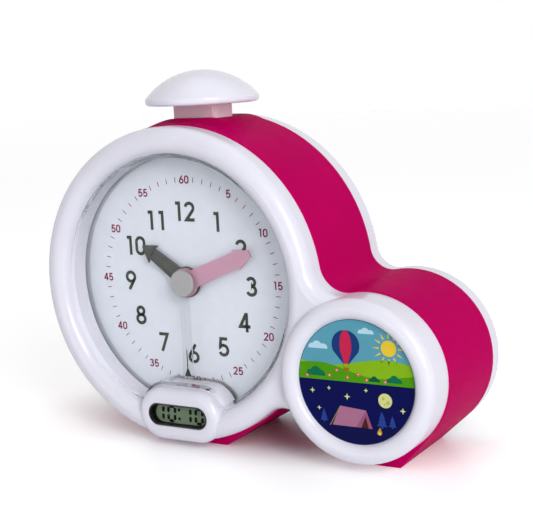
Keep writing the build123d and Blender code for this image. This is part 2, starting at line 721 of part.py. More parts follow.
def second_hand():
    """Clear strip with a flared end and a fine rib along it."""
    y1 = SECOND_HAND_Y + SECOND_HAND_T
    flare = SECOND_REACH - 8.0
    half = SECOND_HALF
    outline = Circle(CAP_R - 0.6) + Polygon(
        (half, 0), (half, flare), (3.3, SECOND_REACH), (-3.3, SECOND_REACH), (-half, flare), (-half, 0),
        align=None,
    )
    body = plate(outline, SECOND_HAND_Y, y1)
    body += block(-0.25, 0.25, SECOND_HAND_Y - 0.3, y1, CAP_R, flare + 2)
    wedge = Polygon((0, flare), (1.9, SECOND_REACH - 0.6), (-1.9, SECOND_REACH - 0.6), align=None)
    body += plate(wedge, SECOND_HAND_Y - 0.3, y1)
    body -= post(ARBOR_R, SECOND_HAND_Y - 1, y1 + 1)
    return pointing(body, SECOND_ANGLE)


def centre_cap():
    """Round cap that carries the second hand."""
    body = post(CAP_R, CAP_Y, SECOND_HAND_Y)
    body = fillet(edges_at(body, CAP_Y), 0.4)
    return body - post(ARBOR_R, CAP_Y + 0.7, SECOND_HAND_Y + 1)


# ================================================================ gears
def gear_outline(teeth, module, phase):
    """Toothed outline in the XZ plane with a tooth centred at the phase angle."""
    step = 360 / teeth
    tip = module * (teeth / 2 + ADDENDUM)
    root = module * (teeth / 2 - DEDENDUM)
    points = []
    for k in range(teeth):
        middle = phase + k * step
        points.append(polar(root, middle - ROOT_HALF * step))
        points.append(polar(tip, middle - TIP_HALF * step))
        points.append(polar(tip, middle + TIP_HALF * step))
        points.append(polar(root, middle + ROOT_HALF * step))
    return Polygon(*points, align=None)


def gear(name, module, y0, y1, centre, phase):
    """One toothed wheel or pinion."""
    return Pos(centre[0], 0, centre[1]) * plate(gear_outline(TEETH[name], module, phase), y0, y1)


def meshed(phase, driver, driven, towards):
    """Phase of a wheel that meshes with a driver lying in the opposite direction."""
    ratio = TEETH[driver] / TEETH[driven]
    return towards + 180 - (phase - towards) * ratio - 180 / TEETH[driven]


THIRD = polar(TRAIN_REACH, THIRD_DIRECTION)
MINUTE = polar(MOTION_REACH, MINUTE_DIRECTION)
SET = polar(MOTION_REACH, SET_DIRECTION, *MINUTE)
STEP = polar(STEP_REACH, STEP_DIRECTION)
ROTOR = polar(ROTOR_REACH, ROTOR_DIRECTION, *STEP)


def module_of(reach, first, second):
    """Module that makes two wheels mesh at a distance."""
    return 2 * reach / (TEETH[first] + TEETH[second])


M_SECONDS_THIRD = module_of(TRAIN_REACH, "third", "seconds_pinion")
M_THIRD_CENTRE = module_of(TRAIN_REACH, "centre", "third_pinion")
M_CANNON = module_of(MOTION_REACH, "minute", "cannon")
M_HOUR = module_of(MOTION_REACH, "hour", "minute_pinion")
M_STEP = module_of(STEP_REACH, "seconds", "intermediate_pinion")
M_ROTOR = module_of(ROTOR_REACH, "intermediate", "rotor_pinion")


def seconds_wheel():
    """Arbor with the seconds wheel and its pinion; the second hand is pressed on its nose."""
    back = BACK_WALL_FRONT + PIVOT
    third_phase = 0.0
    pinion_phase = meshed(third_phase, "third", "seconds_pinion", THIRD_DIRECTION + 180)
    body = post(ARBOR_R, CAP_Y + 0.8, back)
    body += gear("seconds", M_STEP, SECONDS_Y, SECONDS_Y + GEAR_T, (0, 0), 0.0)
    body += gear("seconds_pinion", M_SECONDS_THIRD, THIRD_Y - 0.3, SECONDS_Y, (0, 0), pinion_phase)
    return body


def third_wheel():
    """Wheel driven by the seconds pinion, with the pinion that drives the centre wheel."""
    pinion_phase = meshed(0.0, "centre", "third_pinion", THIRD_DIRECTION)
    body = post(POST_R, FRONT_WALL_BACK - PIVOT, BACK_WALL_FRONT + PIVOT, *THIRD)
    body += gear("third", M_SECONDS_THIRD, THIRD_Y, THIRD_Y + GEAR_T, THIRD, 0.0)
    body += gear("third_pinion", M_THIRD_CENTRE, CENTRE_Y - 0.3, THIRD_Y, THIRD, pinion_phase)
    return body


def centre_wheel():
    """Centre wheel and cannon pinion on the tube that carries the minute hand."""
    body = post(CANNON_R, MINUTE_HAND_Y, CENTRE_Y + GEAR_T)
    body += gear("centre", M_THIRD_CENTRE, CENTRE_Y, CENTRE_Y + GEAR_T, (0, 0), 0.0)
    body += gear("cannon", M_CANNON, CANNON_Y - 0.2, CENTRE_Y, (0, 0), 0.0)
    return body - post(ARBOR_R + RUN_GAP, MINUTE_HAND_Y - 1, CENTRE_Y + GEAR_T + 1)


def minute_wheel():
    """Motion-work wheel that runs on a fixed post and slows the hour wheel."""
    wheel_phase = meshed(0.0, "cannon", "minute", MINUTE_DIRECTION)
    pinion_phase = meshed(0.0, "hour", "minute_pinion", MINUTE_DIRECTION)
    body = gear("minute", M_CANNON, CANNON_Y, CANNON_Y + GEAR_T, MINUTE, wheel_phase)
    body += gear("minute_pinion", M_HOUR, HOUR_WHEEL_Y, CANNON_Y, MINUTE, pinion_phase)
    return body - post(POST_R + RUN_GAP, HOUR_WHEEL_Y - 1, CENTRE_Y, *MINUTE)


def hour_wheel():
    """Hour wheel on the tube that carries the hour hand."""
    body = post(HOUR_TUBE_R, HOUR_HAND_Y, HOUR_WHEEL_Y + GEAR_T)
    body += gear("hour", M_HOUR, HOUR_WHEEL_Y, HOUR_WHEEL_Y + GEAR_T, (0, 0), 0.0)
    return body - post(CANNON_R + RUN_GAP, HOUR_HAND_Y - 1, CANNON_Y)


def set_wheel():
    """Setting pinion on the shaft that runs back to the knob."""
    minute_phase = meshed(0.0, "cannon", "minute", MINUTE_DIRECTION)
    phase = meshed(minute_phase, "minute", "set", SET_DIRECTION)
    body = post(SET_SHAFT_R, FRONT_WALL_BACK - PIVOT, KNOB_BACK - 1, *SET)
    return body + gear("set", M_CANNON, CANNON_Y, CANNON_Y + GEAR_T, SET, phase)


def intermediate_wheel():
    """Reduction wheel between the rotor and the seconds wheel."""
    pinion_phase = meshed(0.0, "seconds", "intermediate_pinion", STEP_DIRECTION)
    body = gear("intermediate", M_ROTOR, STEP_Y, STEP_Y + GEAR_T, STEP, 0.0)
    body += gear("intermediate_pinion", M_STEP, SECONDS_Y - 0.3, STEP_Y, STEP, pinion_phase)
    return body - post(POST_R + RUN_GAP, SECONDS_Y - 1, MAGNET_Y, *STEP)


def rotor():
    """Step rotor: disc magnet with its pinion."""
    phase = meshed(0.0, "intermediate", "rotor_pinion", ROTOR_DIRECTION)
    body = post(MAGNET_R, MAGNET_Y, MAGNET_Y + MAGNET_T, *ROTOR)
    body += gear("rotor_pinion", M_ROTOR, STEP_Y - 0.2, MAGNET_Y, ROTOR, phase)
    return body - post(ROTOR_POST_R + RUN_GAP, SECONDS_Y, MAGNET_Y + MAGNET_T + 1, *ROTOR)


def coil():
    """Winding on its bobbin, round the core."""
    x0, x1 = COIL_X
    side = CORE_SIDE + 0.2
    body = Pos((x0 + x1) / 2, COIL_Y, COIL_Z) * Rot(0, 90, 0) * Cylinder(COIL_R, x1 - x0)
    for x in (x0, x1 - COIL_FLANGE_T):
        flange = Rot(0, 90, 0) * Cylinder(COIL_R + COIL_FLANGE, COIL_FLANGE_T)
        body += Pos(x + COIL_FLANGE_T / 2, COIL_Y, COIL_Z) * flange
    half = side / 2
    return body - block(x0 - 1, x1 + 1, COIL_Y - half, COIL_Y + half, COIL_Z - half, COIL_Z + half)


def stator():
    """Soft-iron circuit: plate round the rotor, return bar and the core through the coil."""
    x0, x1 = COIL_X
    y0 = MAGNET_Y + (MAGNET_T - STATOR_T) / 2
    y1 = y0 + STATOR_T
    half = CORE_SIDE / 2
    reach = COIL_R + COIL_FLANGE + 1
    left = x0 - 1 - CORE_SIDE
    body = block(ROTOR[0] - 6, x0 - 1.2, y0, y1, COIL_Z - half, ROTOR[1] + 6)
    body += block(x0 - 3, x1 + 1 + CORE_SIDE, y0, y1, COIL_Z + reach, COIL_Z + reach + 2.2)
    body += block(x1 + 1, x1 + 1 + CORE_SIDE, y0, y1, COIL_Z - half, COIL_Z + reach + 2.2)
    body += block(left, x1 + 1 + CORE_SIDE, COIL_Y - half, COIL_Y + half, COIL_Z - half, COIL_Z + half)
    body += block(left, x0 - 1.2, COIL_Y - half, y1, COIL_Z - half, COIL_Z + half)
    body += block(x1 + 1, x1 + 1 + CORE_SIDE, COIL_Y - half, y1, COIL_Z - half, COIL_Z + half)
    return body - post(MAGNET_R + ROTOR_AIR_GAP, y0 - 1, y1 + 1, *ROTOR)


def movement_box(y0, y1):
    """Outer block of the movement's case between two depths."""
    body = block(-MOVEMENT_HALF, MOVEMENT_HALF, y0, y1, -MOVEMENT_HALF, MOVEMENT_TOP)
    return fillet(body.edges().filter_by(Axis.Y), 3.0)


def movement_hollow(y0, y1):
    """Inner space of the movement's case between two depths."""
    half = MOVEMENT_HALF - MOVEMENT_WALL
    return block(-half, half, y0, y1, -half, MOVEMENT_TOP - MOVEMENT_WALL)


def movement_front():
    """Front half of the movement's case with the threaded bush and the minute wheel's post."""
    split = MOVEMENT_Y + MOVEMENT_SPLIT
    body = movement_box(MOVEMENT_Y, split) - movement_hollow(FRONT_WALL_BACK, split + 1)
    body += post(BUSH_R, NUT_Y - 0.2, MOVEMENT_Y + 0.5)
    body -= post(HOUR_TUBE_R + RUN_GAP, NUT_Y - 1, FRONT_WALL_BACK + 1)
    body += post(POST_R, MOVEMENT_Y + 0.5, CANNON_Y + GEAR_T + 0.3, *MINUTE)
    body -= post(POST_R + RUN_GAP, FRONT_WALL_BACK - PIVOT - 0.1, FRONT_WALL_BACK + 1, *THIRD)
    return body - post(SET_SHAFT_R + RUN_GAP, FRONT_WALL_BACK - PIVOT - 0.1, FRONT_WALL_BACK + 1, *SET)


def movement_back():
    """Rear half of the movement's case with the posts of the rotor and intermediate wheel."""
    split = MOVEMENT_Y + MOVEMENT_SPLIT
    body = movement_box(split, MOVEMENT_BACK) - movement_hollow(split - 1, BACK_WALL_FRONT)
    body += post(POST_R, SECONDS_Y - 0.5, BACK_WALL_FRONT + 0.5, *STEP)
    body += post(ROTOR_POST_R, STEP_Y - 0.4, BACK_WALL_FRONT + 0.5, *ROTOR)
    body -= post(ARBOR_R + RUN_GAP, BACK_WALL_FRONT - 1, BACK_WALL_FRONT + PIVOT + 0.1)
    body -= post(POST_R + RUN_GAP, BACK_WALL_FRONT - 1, BACK_WALL_FRONT + PIVOT + 0.1, *THIRD)
    return body - post(SET_SHAFT_R + RUN_GAP, BACK_WALL_FRONT - 1, MOVEMENT_BACK + 1, *SET)


def dial_nut():
    """Nut that clamps the movement, carrier and dial together."""
    body = plate(RegularPolygon(NUT_R, 6), NUT_Y, DIAL_Y)
    return body - post(BUSH_R, NUT_Y - 1, DIAL_Y + 1)


# ================================================================ display
def pod_inside(gap):
    """Outline of a piece that fills the pod's inside with a gap all round."""
    return stadium(POD_WIDTH - 2 * POD_WALL - 2 * gap, POD_HEIGHT - 2 * POD_WALL - 2 * gap, POD_X, POD_Z)


def lcd_shroud():
    """Black surround in the window, with the skirt that holds the display."""
    front = -POD_FRONT + SHROUD_INSET
    sleeve = stadium(WINDOW_WIDTH - 2 * SHROUD_FIT, WINDOW_HEIGHT - 2 * SHROUD_FIT, POD_X, POD_Z)
    sight = stadium(WINDOW_WIDTH - 2 * SHROUD_WALL, WINDOW_HEIGHT - 2 * SHROUD_WALL, POD_X, POD_Z)
    body = plate(sleeve, front, SHROUD_Y) + plate(pod_inside(SHROUD_FIT), SHROUD_Y, LCD_BOARD_Y - STACK_GAP)
    body -= plate(sight, front - 1, LCD_BOARD_Y)
    nest_y = LCD_WINDOW_Y - STACK_GAP
    body -= lcd_layer(LCD_WIDTH + 0.4, LCD_HEIGHT + 0.4, nest_y, -nest_y)
    for place in lcd_screw_places():
        body -= post(SMALL_SCREW_R, LCD_BOARD_Y - SMALL_SCREW, LCD_BOARD_Y, *place)
    return body


def lcd_layer(width, height, y0, thickness):
    """Flat rectangular layer of the display."""
    half_w, half_h = width / 2, height / 2
    return block(POD_X - half_w, POD_X + half_w, y0, y0 + thickness, POD_Z - half_h, POD_Z + half_h)


def lcd_strips():
    """Two rubber contact strips between the glass and the board."""
    strips = []
    for side in (-1, 1):
        z = POD_Z + side * (LCD_HEIGHT - STRIP_T) / 2
        x0, x1 = POD_X - LCD_WIDTH / 2, POD_X + LCD_WIDTH / 2
        strips.append(block(x0, x1, LCD_LIGHT_Y, LCD_BOARD_Y, z - STRIP_T / 2, z + STRIP_T / 2))
    return group(strips)


def lcd_screw_places():
    reach = LCD_SCREW_REACH
    return [(POD_X - reach, POD_Z), (POD_X + reach, POD_Z)]


def lcd_board():
    """Display's circuit board."""
    body = plate(pod_inside(SHROUD_FIT), LCD_BOARD_Y, LCD_BOARD_Y + LCD_BOARD_T)
    for place in lcd_screw_places():
        body -= post(SMALL_SCREW_R + SCREW_FIT, LCD_BOARD_Y - 1, LCD_BOARD_Y + LCD_BOARD_T + 1, *place)
    return body


# ================================================================ night light
def picture_disc():
    """Translucent printed picture."""
    return post(PICTURE_WELL_R - PICTURE_FIT, PICTURE_Y, PICTURE_Y + PICTURE_T, *SMALL)


def light_box():
    """White tub behind the picture, split into a day half and a night half."""
    front = LIGHT_BOX_Y
    outer = PICTURE_WELL_R - PICTURE_FIT
    body = post(outer, front, LIGHT_BOX_BACK, *SMALL)
    body -= post(outer - LIGHT_BOX_WALL, front - 1, LIGHT_BOX_BACK - LIGHT_BOX_WALL, *SMALL)
    half = LIGHT_BOX_WALL / 2
    reach = outer - 0.5
    x0, x1 = SMALL_X - reach, SMALL_X + reach
    body += block(x0, x1, front, LIGHT_BOX_BACK - 1, SMALL_Z - half, SMALL_Z + half)
    for place in led_places(1) + led_places(-1):
        body -= post(LED_R + 0.2, LIGHT_BOX_BACK - LIGHT_BOX_WALL - 1, LIGHT_BOX_BACK + 1, *place)
    for place in light_screw_places():
        body += post(BOSS_R, LIGHT_BOX_BACK - 5, LIGHT_BOX_BACK, *place)
        body -= post(SMALL_SCREW_R, LIGHT_BOX_BACK - 4, LIGHT_BOX_BACK + 1, *place)
    return body


def led_places(side):
    """Three lamps in one half of the box: side +1 day, -1 night."""
    return [(SMALL_X + dx, SMALL_Z + side * LED_REACH) for dx in (-LED_SPREAD, 0, LED_SPREAD)]


def light_screw_places():
    return [(SMALL_X, SMALL_Z + side * LIGHT_SCREW_REACH) for side in (-1, 1)]


def leds(side):
    """Round-nosed lamps on the light board."""
    lamps = []
    for x, z in led_places(side):
        lamp = post(LED_R, LIGHT_BOX_BACK - LED_LENGTH, LIGHT_BOX_BACK, x, z)
        lamp += Pos(x, LIGHT_BOX_BACK - LED_LENGTH, z) * Sphere(LED_R)
        lamps.append(lamp)
    return group(lamps)


def light_board():
    """Circuit board of the night light."""
    body = post(PICTURE_WELL_R - 2, LIGHT_BOX_BACK, LIGHT_BOX_BACK + BOARD_T, *SMALL)
    for place in light_screw_places():
        body -= post(SMALL_SCREW_R + SCREW_FIT, LIGHT_BOX_BACK - 1, LIGHT_BOX_BACK + BOARD_T + 1, *place)
    return body


# ================================================================ band
def band_grow(y):
    """How far the band's outside stands out from the front outline at a depth."""
    return BAND_LIP + (BAND_FLARE - BAND_LIP) * y / BAND_DEPTH


def lofted(grow0, grow1, y0, y1, feet):
    """Solid between two case outlines."""
    sections = []
    for grow, y in ((grow0, y0), (grow1, y1)):
        sections.append(Plane.XZ.offset(-y) * case_outline(grow, feet))
    return loft(sections, ruled=True)


def screw_post(place, centre, lobe_r, front):
    """Post in the band for a case screw, with the rib that ties it to the wall."""
    x, z = place
    angle = direction(centre, place)
    reach = hypot(x - centre[0], z - centre[1])
    rib = block(reach, lobe_r + 0.2, front, BAND_DEPTH, -POST_RIB / 2, POST_RIB / 2)
    rib = Pos(centre[0], 0, centre[1]) * Rot(0, -angle, 0) * rib
    return post(POST_OUT_R, front, BAND_DEPTH, x, z) + rib


def stem_bar(grow, z0, z1):
    """Upright bar with the section of the button's stem, grown outwards."""
    section = RectangleRounded(STEM_WIDTH + 2 * grow, STEM_DEPTH + 2 * grow, STEM_ROUND + grow)
    return extrude(Plane.XY.offset(z0) * Pos(0, BUTTON_Y) * section, z1 - z0)


def stem_flat():
    """Flat on top of the band round the stem, with slopes down to the lobe on three sides."""
    radius = BIG_R + BAND_LIP
    half = STEM_WIDTH / 2 + STEM_FIT + GUIDE_WALL + STEM_FLAT_EDGE
    top = BIG_R + STEM_FLAT_RISE
    x, z = polar(radius, -foot_tangent(radius, half, -top, 1))
    outline = Polygon((-x, z), (x, z), (half, top), (-half, top), align=None)
    body = plate(outline, STEM_FLAT_FRONT, BAND_DEPTH)
    ridges = [e for e in body.edges() if e.center().Z > top - 0.01 and abs(e.center().X) > 1]
    body = fillet(ridges, STEM_FLAT_ROUND)
    length = BAND_DEPTH - STEM_FLAT_FRONT
    ramp = Rot(-90, 0, 0) * Cone(BIG_R, BIG_R + length * STEM_FLAT_GRADE, length)
    body &= Pos(0, STEM_FLAT_FRONT + length / 2, 0) * ramp
    return body - post(BIG_R + BAND_LIP / 2, -1, BAND_DEPTH + 1)


def mid_housing():
    """Coloured band with its feet, screw posts, and the guide tube and flat for the button's stem."""
    body = lofted(band_grow(0), band_grow(BAND_DEPTH), 0, BAND_DEPTH, True)
    rim = [e for e in edges_at(body, 0) if abs(e.center().Z - FLOOR_Z) > 0.01]
    body = fillet(rim, LIP_ROUND)
    wall = CASE_WALL
    body -= lofted(band_grow(-1) - wall, band_grow(BAND_DEPTH + 1) - wall, -1, BAND_DEPTH + 1, False)
    body += stem_bar(STEM_FIT + GUIDE_WALL, GUIDE_LOW, BIG_R)
    body += stem_flat()
    for place in big_screw_places():
        body += screw_post(place, BIG, BIG_R, LONG_POST_Y)
    for place in small_screw_places():
        body += screw_post(place, SMALL, SMALL_R, SHORT_POST_Y)
    body -= stem_bar(STEM_FIT, GUIDE_LOW - 1, BIG_R + BAND_FLARE + 1)
    for place in big_screw_places():
        body -= post(SCREW_R + SCREW_FIT, LONG_POST_Y - 1, BAND_DEPTH + 1, *place)
    for place in small_screw_places():
        body -= post(SCREW_R, SHORT_POST_Y + 2, BAND_DEPTH + 1, *place)
    return body


# ================================================================ top button
def button_cap():
    """Domed cap of the snooze button, hollow, with the hole that takes the stem."""
    rise = BUTTON_TOP - BUTTON_RIM
    sphere_r = (BUTTON_CAP_R**2 + rise**2) / (2 * rise)
    centre_z = BUTTON_TOP - sphere_r
    dome = Pos(0, BUTTON_Y, centre_z) * Sphere(sphere_r)
    body = dome & upright(BUTTON_CAP_R, BUTTON_UNDER, BUTTON_TOP + 1, 0, BUTTON_Y)
    body = fillet(body.edges().filter_by(GeomType.CIRCLE), CAP_EDGE)
    hollow = Pos(0, BUTTON_Y, centre_z) * Sphere(sphere_r - BUTTON_WALL)
    hollow &= upright(BUTTON_CAP_R, BUTTON_UNDER + BUTTON_WALL, BUTTON_TOP, 0, BUTTON_Y)
    return body - hollow - stem_bar(0, BUTTON_UNDER - 1, BUTTON_UNDER + BUTTON_WALL + 0.5)


def button_stem():
    """Hollow plunger with its stop flange and the rod that presses the switch."""
    low = GUIDE_LOW - STOP_GAP - STOP_T
    body = stem_bar(0, low, STEM_TOP)
    body += stem_bar(STOP_REACH, low, low + STOP_T)
    body -= stem_bar(-STEM_WALL, low - 1, STEM_TOP - STEM_WALL)
    rod_low = SWITCH_TOP + BUTTON_TRAVEL + 0.2
    return body + upright(PLUNGER_R, rod_low, STEM_TOP - STEM_WALL / 2, 0, BUTTON_Y)


def button_spring():
    """Compression spring that returns the button."""
    low = BRACKET_Z + BRACKET_T + SPRING_WIRE_R
    high = STEM_TOP - STEM_WALL - SPRING_WIRE_R
    path = Helix((high - low) / SPRING_TURNS, high - low, SPRING_R, center=(0, BUTTON_Y, low))
    section = Plane(path @ 0, z_dir=path % 0) * Circle(SPRING_WIRE_R)
    return sweep(section, path=path, is_frenet=True)


def button_bracket():
    """Bridge under the guide tube that carries the switch and the spring."""
    half_x = STEM_WIDTH / 2 + STEM_FIT + GUIDE_WALL + 0.1
    leg = BRACKET_T
    y0, y1 = BUTTON_Y - BRACKET_HALF_Y, BUTTON_Y + BRACKET_HALF_Y
    body = block(-half_x - leg, half_x + leg, y0, y1, BRACKET_Z, BRACKET_Z + BRACKET_T)
    for side in (-1, 1):
        x = side * (half_x + leg / 2)
        body += block(x - leg / 2, x + leg / 2, y0, y1, BRACKET_Z, GUIDE_LOW + BRACKET_LAP)
    return body


def button_switch():
    """Tact switch under the plunger."""
    z0 = BRACKET_Z + BRACKET_T
    half = SWITCH_SIDE / 2
    body = block(-half, half, BUTTON_Y - half, BUTTON_Y + half, z0, z0 + SWITCH_H - 1)
    return body + upright(1.7, z0, z0 + SWITCH_H, 0, BUTTON_Y)


# ================================================================ rear cover
def cell_axes():
    """Heights of the battery cells' axes."""
    return [BAY_LOW + CELL_PITCH * (k + 0.5) for k in range(CELLS)]


def board_boss_places():
    """Screws of the main board: two on the board, two on its wings."""
    upper = [(side * (BOARD_HALF - BOARD_SCREW_EDGE), BOARD_SCREW_HIGH) for side in (-1, 1)]
    return upper + [(side * (BOARD_HALF + BOARD_SCREW_EDGE), BOARD_SCREW_LOW) for side in (-1, 1)]


def grille_places():
    """Speaker holes: one in the middle and rings of six, twelve and so on."""
    places = [SMALL]
    for ring in range(1, GRILLE_RINGS + 1):
        for k in range(6 * ring):
            places.append(polar(ring * GRILLE_PITCH, k * 60 / ring, *SMALL))
    return places


def rear_cover():
    """White back shell with the battery bay, knob well, key holes and speaker grille."""
    grow = BAND_FLARE - COVER_STEP
    body = plate(case_outline(grow), REAR_SEAM, CASE_BACK)
    body = fillet(edges_at(body, CASE_BACK), COVER_ROUND)
    inner = plate(case_outline(grow - COVER_WALL), REAR_SEAM - 1, COVER_INSIDE)
    body -= fillet(edges_at(inner, COVER_INSIDE), COVER_ROUND - COVER_WALL)
    body = cover_additions(body)
    return cover_cuts(body)


def cover_additions(body):
    """Bay box, knob well, screw sleeves, board bosses and the speaker's ring."""
    x = BAY_HALF + BAY_WALL
    body += block(-x, x, BAY_FLOOR - BAY_WALL, COVER_INSIDE + 1, BAY_LOW - BAY_WALL, BAY_HIGH + BAY_WALL)
    body += post(KNOB_RECESS_R + COVER_WALL, KNOB_FLOOR - COVER_WALL, COVER_INSIDE + 1, *SET)
    for place in big_screw_places() + small_screw_places():
        body += post(SLEEVE_R, REAR_SEAM, COVER_INSIDE + 1, *place)
    for place in board_boss_places():
        body += post(BOSS_R, BOARD_BACK, COVER_INSIDE + 1, *place)
    ring = SPEAKER_R + SPEAKER_FIT
    return body + tube(ring + COVER_WALL / 2, ring, SPEAKER_Y, COVER_INSIDE + 1, *SMALL)


def cover_cuts(body):
    """Every hole and recess of the back."""
    body -= block(-BAY_HALF, BAY_HALF, BAY_FLOOR, CASE_BACK + 1, BAY_LOW, BAY_HIGH)
    seat_x = BAY_HALF + DOOR_LEDGE
    seat_z0, seat_z1 = BAY_LOW - DOOR_LEDGE, BAY_HIGH + DOOR_LEDGE
    body -= block(-seat_x, seat_x, CASE_BACK - DOOR_T, CASE_BACK + 1, seat_z0, seat_z1)
    body -= post(KNOB_RECESS_R, KNOB_FLOOR, CASE_BACK + 1, *SET)
    body -= post(SET_SHAFT_R + 2 * RUN_GAP, KNOB_FLOOR - COVER_WALL - 1, CASE_BACK + 1, *SET)
    for place in big_screw_places() + small_screw_places():
        body -= post(SCREW_R + SCREW_FIT, REAR_SEAM - 1, CASE_BACK + 1, *place)
        body -= post(SCREW_HEAD_R + SCREW_FIT, SCREW_SEAT, CASE_BACK + 1, *place)
    for place in board_boss_places():
        body -= post(SMALL_SCREW_R, BOARD_Y, BOARD_BACK + SMALL_SCREW, *place)
    width, height = KEY_WIDTH / 2 + KEY_FIT, KEY_HEIGHT / 2 + KEY_FIT
    recess_x = KEY_XS[-1] + width + KEY_RECESS_EDGE
    recess_z = height + KEY_RECESS_EDGE
    key_floor = CASE_BACK - KEY_RECESS
    body -= block(-recess_x, recess_x, key_floor, CASE_BACK + 1, KEY_Z - recess_z, KEY_Z + recess_z)
    for x in KEY_XS:
        body -= block(x - width, x + width, COVER_INSIDE - 1, CASE_BACK, KEY_Z - height, KEY_Z + height)
    for side in (-1, 1):
        body -= slider_slot(side)
    for place in grille_places():
        body -= post(GRILLE_HOLE_R, COVER_INSIDE - 1, CASE_BACK + 1, *place)
    return body - post(JACK_HOLE_R + 0.6, COVER_INSIDE - 1, CASE_BACK + 1, JACK_X, JACK_Z)


def slider_slot(side):
    """Slot and thumb recess of one slide switch."""
    half = SLIDER_SIDE / 2 + SLIDER_FIT
    x = side * SLIDER_X
    top = SLIDER_Z + SLIDER_TRAVEL
    slot = block(x - half, x + half, COVER_INSIDE - 1, CASE_BACK + 1, SLIDER_Z - half, top + half)
    edge = half + SLIDER_RECESS_EDGE
    floor = CASE_BACK - SLIDER_RECESS
    return slot + block(x - edge, x + edge, floor, CASE_BACK + 1, SLIDER_Z - edge, top + edge)


def battery_door():
    """Cover of the battery bay with its finger tab and hooks."""
    x = BAY_HALF + DOOR_LEDGE - DOOR_FIT
    z0, z1 = BAY_LOW - DOOR_LEDGE + DOOR_FIT, BAY_HIGH + DOOR_LEDGE - DOOR_FIT
    body = block(-x, x, CASE_BACK - DOOR_T, CASE_BACK, z0, z1)
    body = fillet(body.edges().filter_by(Axis.Y), 1.2)
    for k in range(DOOR_GRIPS):
        z = BAY_HIGH - 4.0 - k * 2.2
        body -= block(-DOOR_GRIP_HALF, DOOR_GRIP_HALF, CASE_BACK - 0.6, CASE_BACK + 1, z - 0.55, z + 0.55)
    hook_y = CASE_BACK - DOOR_T - 2.2
    for side in (-1, 1):
        hook_x = side * BAY_HALF / 2
        body += block(hook_x - 3, hook_x + 3, hook_y, CASE_BACK - 0.9, BAY_LOW + 0.3, BAY_LOW + 1.5)
    return body + block(-5, 5, hook_y, CASE_BACK - 0.9, BAY_HIGH - 1.5, BAY_HIGH - 0.3)


def cell_sides():
    """Height of each cell and the side its nub faces, turned end for end in turn."""
    return [(z, 1 if k % 2 == 0 else -1) for k, z in enumerate(cell_axes())]


def along_x(shape, x, z):
    """Round shape turned to lie along X at a cell's axis."""
    return Pos(x, CELL_Y, z) * Rot(0, 90, 0) * shape


def battery_cells():
    """Three cells side by side."""
    cells = []
    for z, side in cell_sides():
        can = along_x(Cylinder(CELL_R, CELL_LENGTH - NUB_LENGTH), -side * NUB_LENGTH / 2, z)
        nub_x = side * (CELL_LENGTH - NUB_LENGTH) / 2
        cells.append(can + along_x(Cylinder(NUB_R, NUB_LENGTH), nub_x, z))
    return group(cells)


def battery_springs():
    """Coiled contacts at the flat ends of the cells."""
    springs = []
    start = BAY_HALF - CONTACT_T - CONTACT_WIRE_R
    length = CONTACT_ROOM - 2 * CONTACT_WIRE_R
    for z, side in cell_sides():
        centre = (-side * start, CELL_Y, z)
        path = Helix(length / CONTACT_TURNS, length, CONTACT_SPRING_R, center=centre, direction=(side, 0, 0))
        section = Plane(path @ 0, z_dir=path % 0) * Circle(CONTACT_WIRE_R)
        springs.append(sweep(section, path=path, is_frenet=True))
    return group(springs)


def battery_plates():
    """Contacts at both ends of the bay; those at the nubs have a raised button."""
    plates = []
    room = CONTACT_ROOM + CONTACT_T
    for z, side in cell_sides():
        for end in (-1, 1):
            x0, x1 = sorted((end * BAY_HALF, end * (BAY_HALF - CONTACT_T)))
            contact = block(x0, x1, CELL_Y - 5, CELL_Y + 5, z - 5.5, z + 5.5)
            if end == side:
                contact += along_x(Cylinder(NUB_R - 0.4, room), end * (BAY_HALF - room / 2), z)
            plates.append(contact)
    return group(plates)


def key(x):
    """One rear key with its flange and stem."""
    half_w, half_h = KEY_WIDTH / 2, KEY_HEIGHT / 2
    body = block(x - half_w, x + half_w, KEY_BACK, KEY_FACE, KEY_Z - half_h, KEY_Z + half_h)
    body = fillet(edges_at(body, KEY_FACE), 0.6)
    wide, high = half_w + KEY_FLANGE, half_h + KEY_FLANGE
    body += block(x - wide, x + wide, KEY_BACK - KEY_FLANGE, KEY_BACK, KEY_Z - high, KEY_Z + high)
    stem_y = KEY_SWITCH_TOP + KEY_TRAVEL + 0.15
    return body + block(x - 1.5, x + 1.5, stem_y, KEY_BACK, KEY_Z - 1.5, KEY_Z + 1.5)


def key_switches():
    """Tact switches on the main board, one behind each key."""
    y0 = BOARD_BACK
    half = SWITCH_SIDE / 2
    switches = []
    for x in KEY_XS:
        body = block(x - half, x + half, y0, y0 + SWITCH_H - 1, KEY_Z - half, KEY_Z + half)
        switches.append(body + post(1.7, y0, y0 + SWITCH_H, x, KEY_Z))
    return group(switches)


def slider(side):
    """Thumb piece of one slide switch."""
    half = SLIDER_SIDE / 2
    x = side * SLIDER_X
    face = CASE_BACK - 2 * STACK_GAP
    body = block(x - half, x + half, KEY_BACK - 1, face, SLIDER_Z - half, SLIDER_Z + half)
    for k in (-1, 0, 1):
        z = SLIDER_Z + k * 1.2
        body -= block(x - half - 1, x + half + 1, face - 0.4, face + 1, z - 0.25, z + 0.25)
    wide = half + SLIDER_FLANGE
    high = wide + SLIDER_TRAVEL
    body += block(x - wide, x + wide, KEY_BACK - 1.2, KEY_BACK, SLIDER_Z - high, SLIDER_Z + high)
    return body + block(x - 1, x + 1, SLIDE_SWITCH_TOP + 0.2, KEY_BACK, SLIDER_Z - 1, SLIDER_Z + 1)


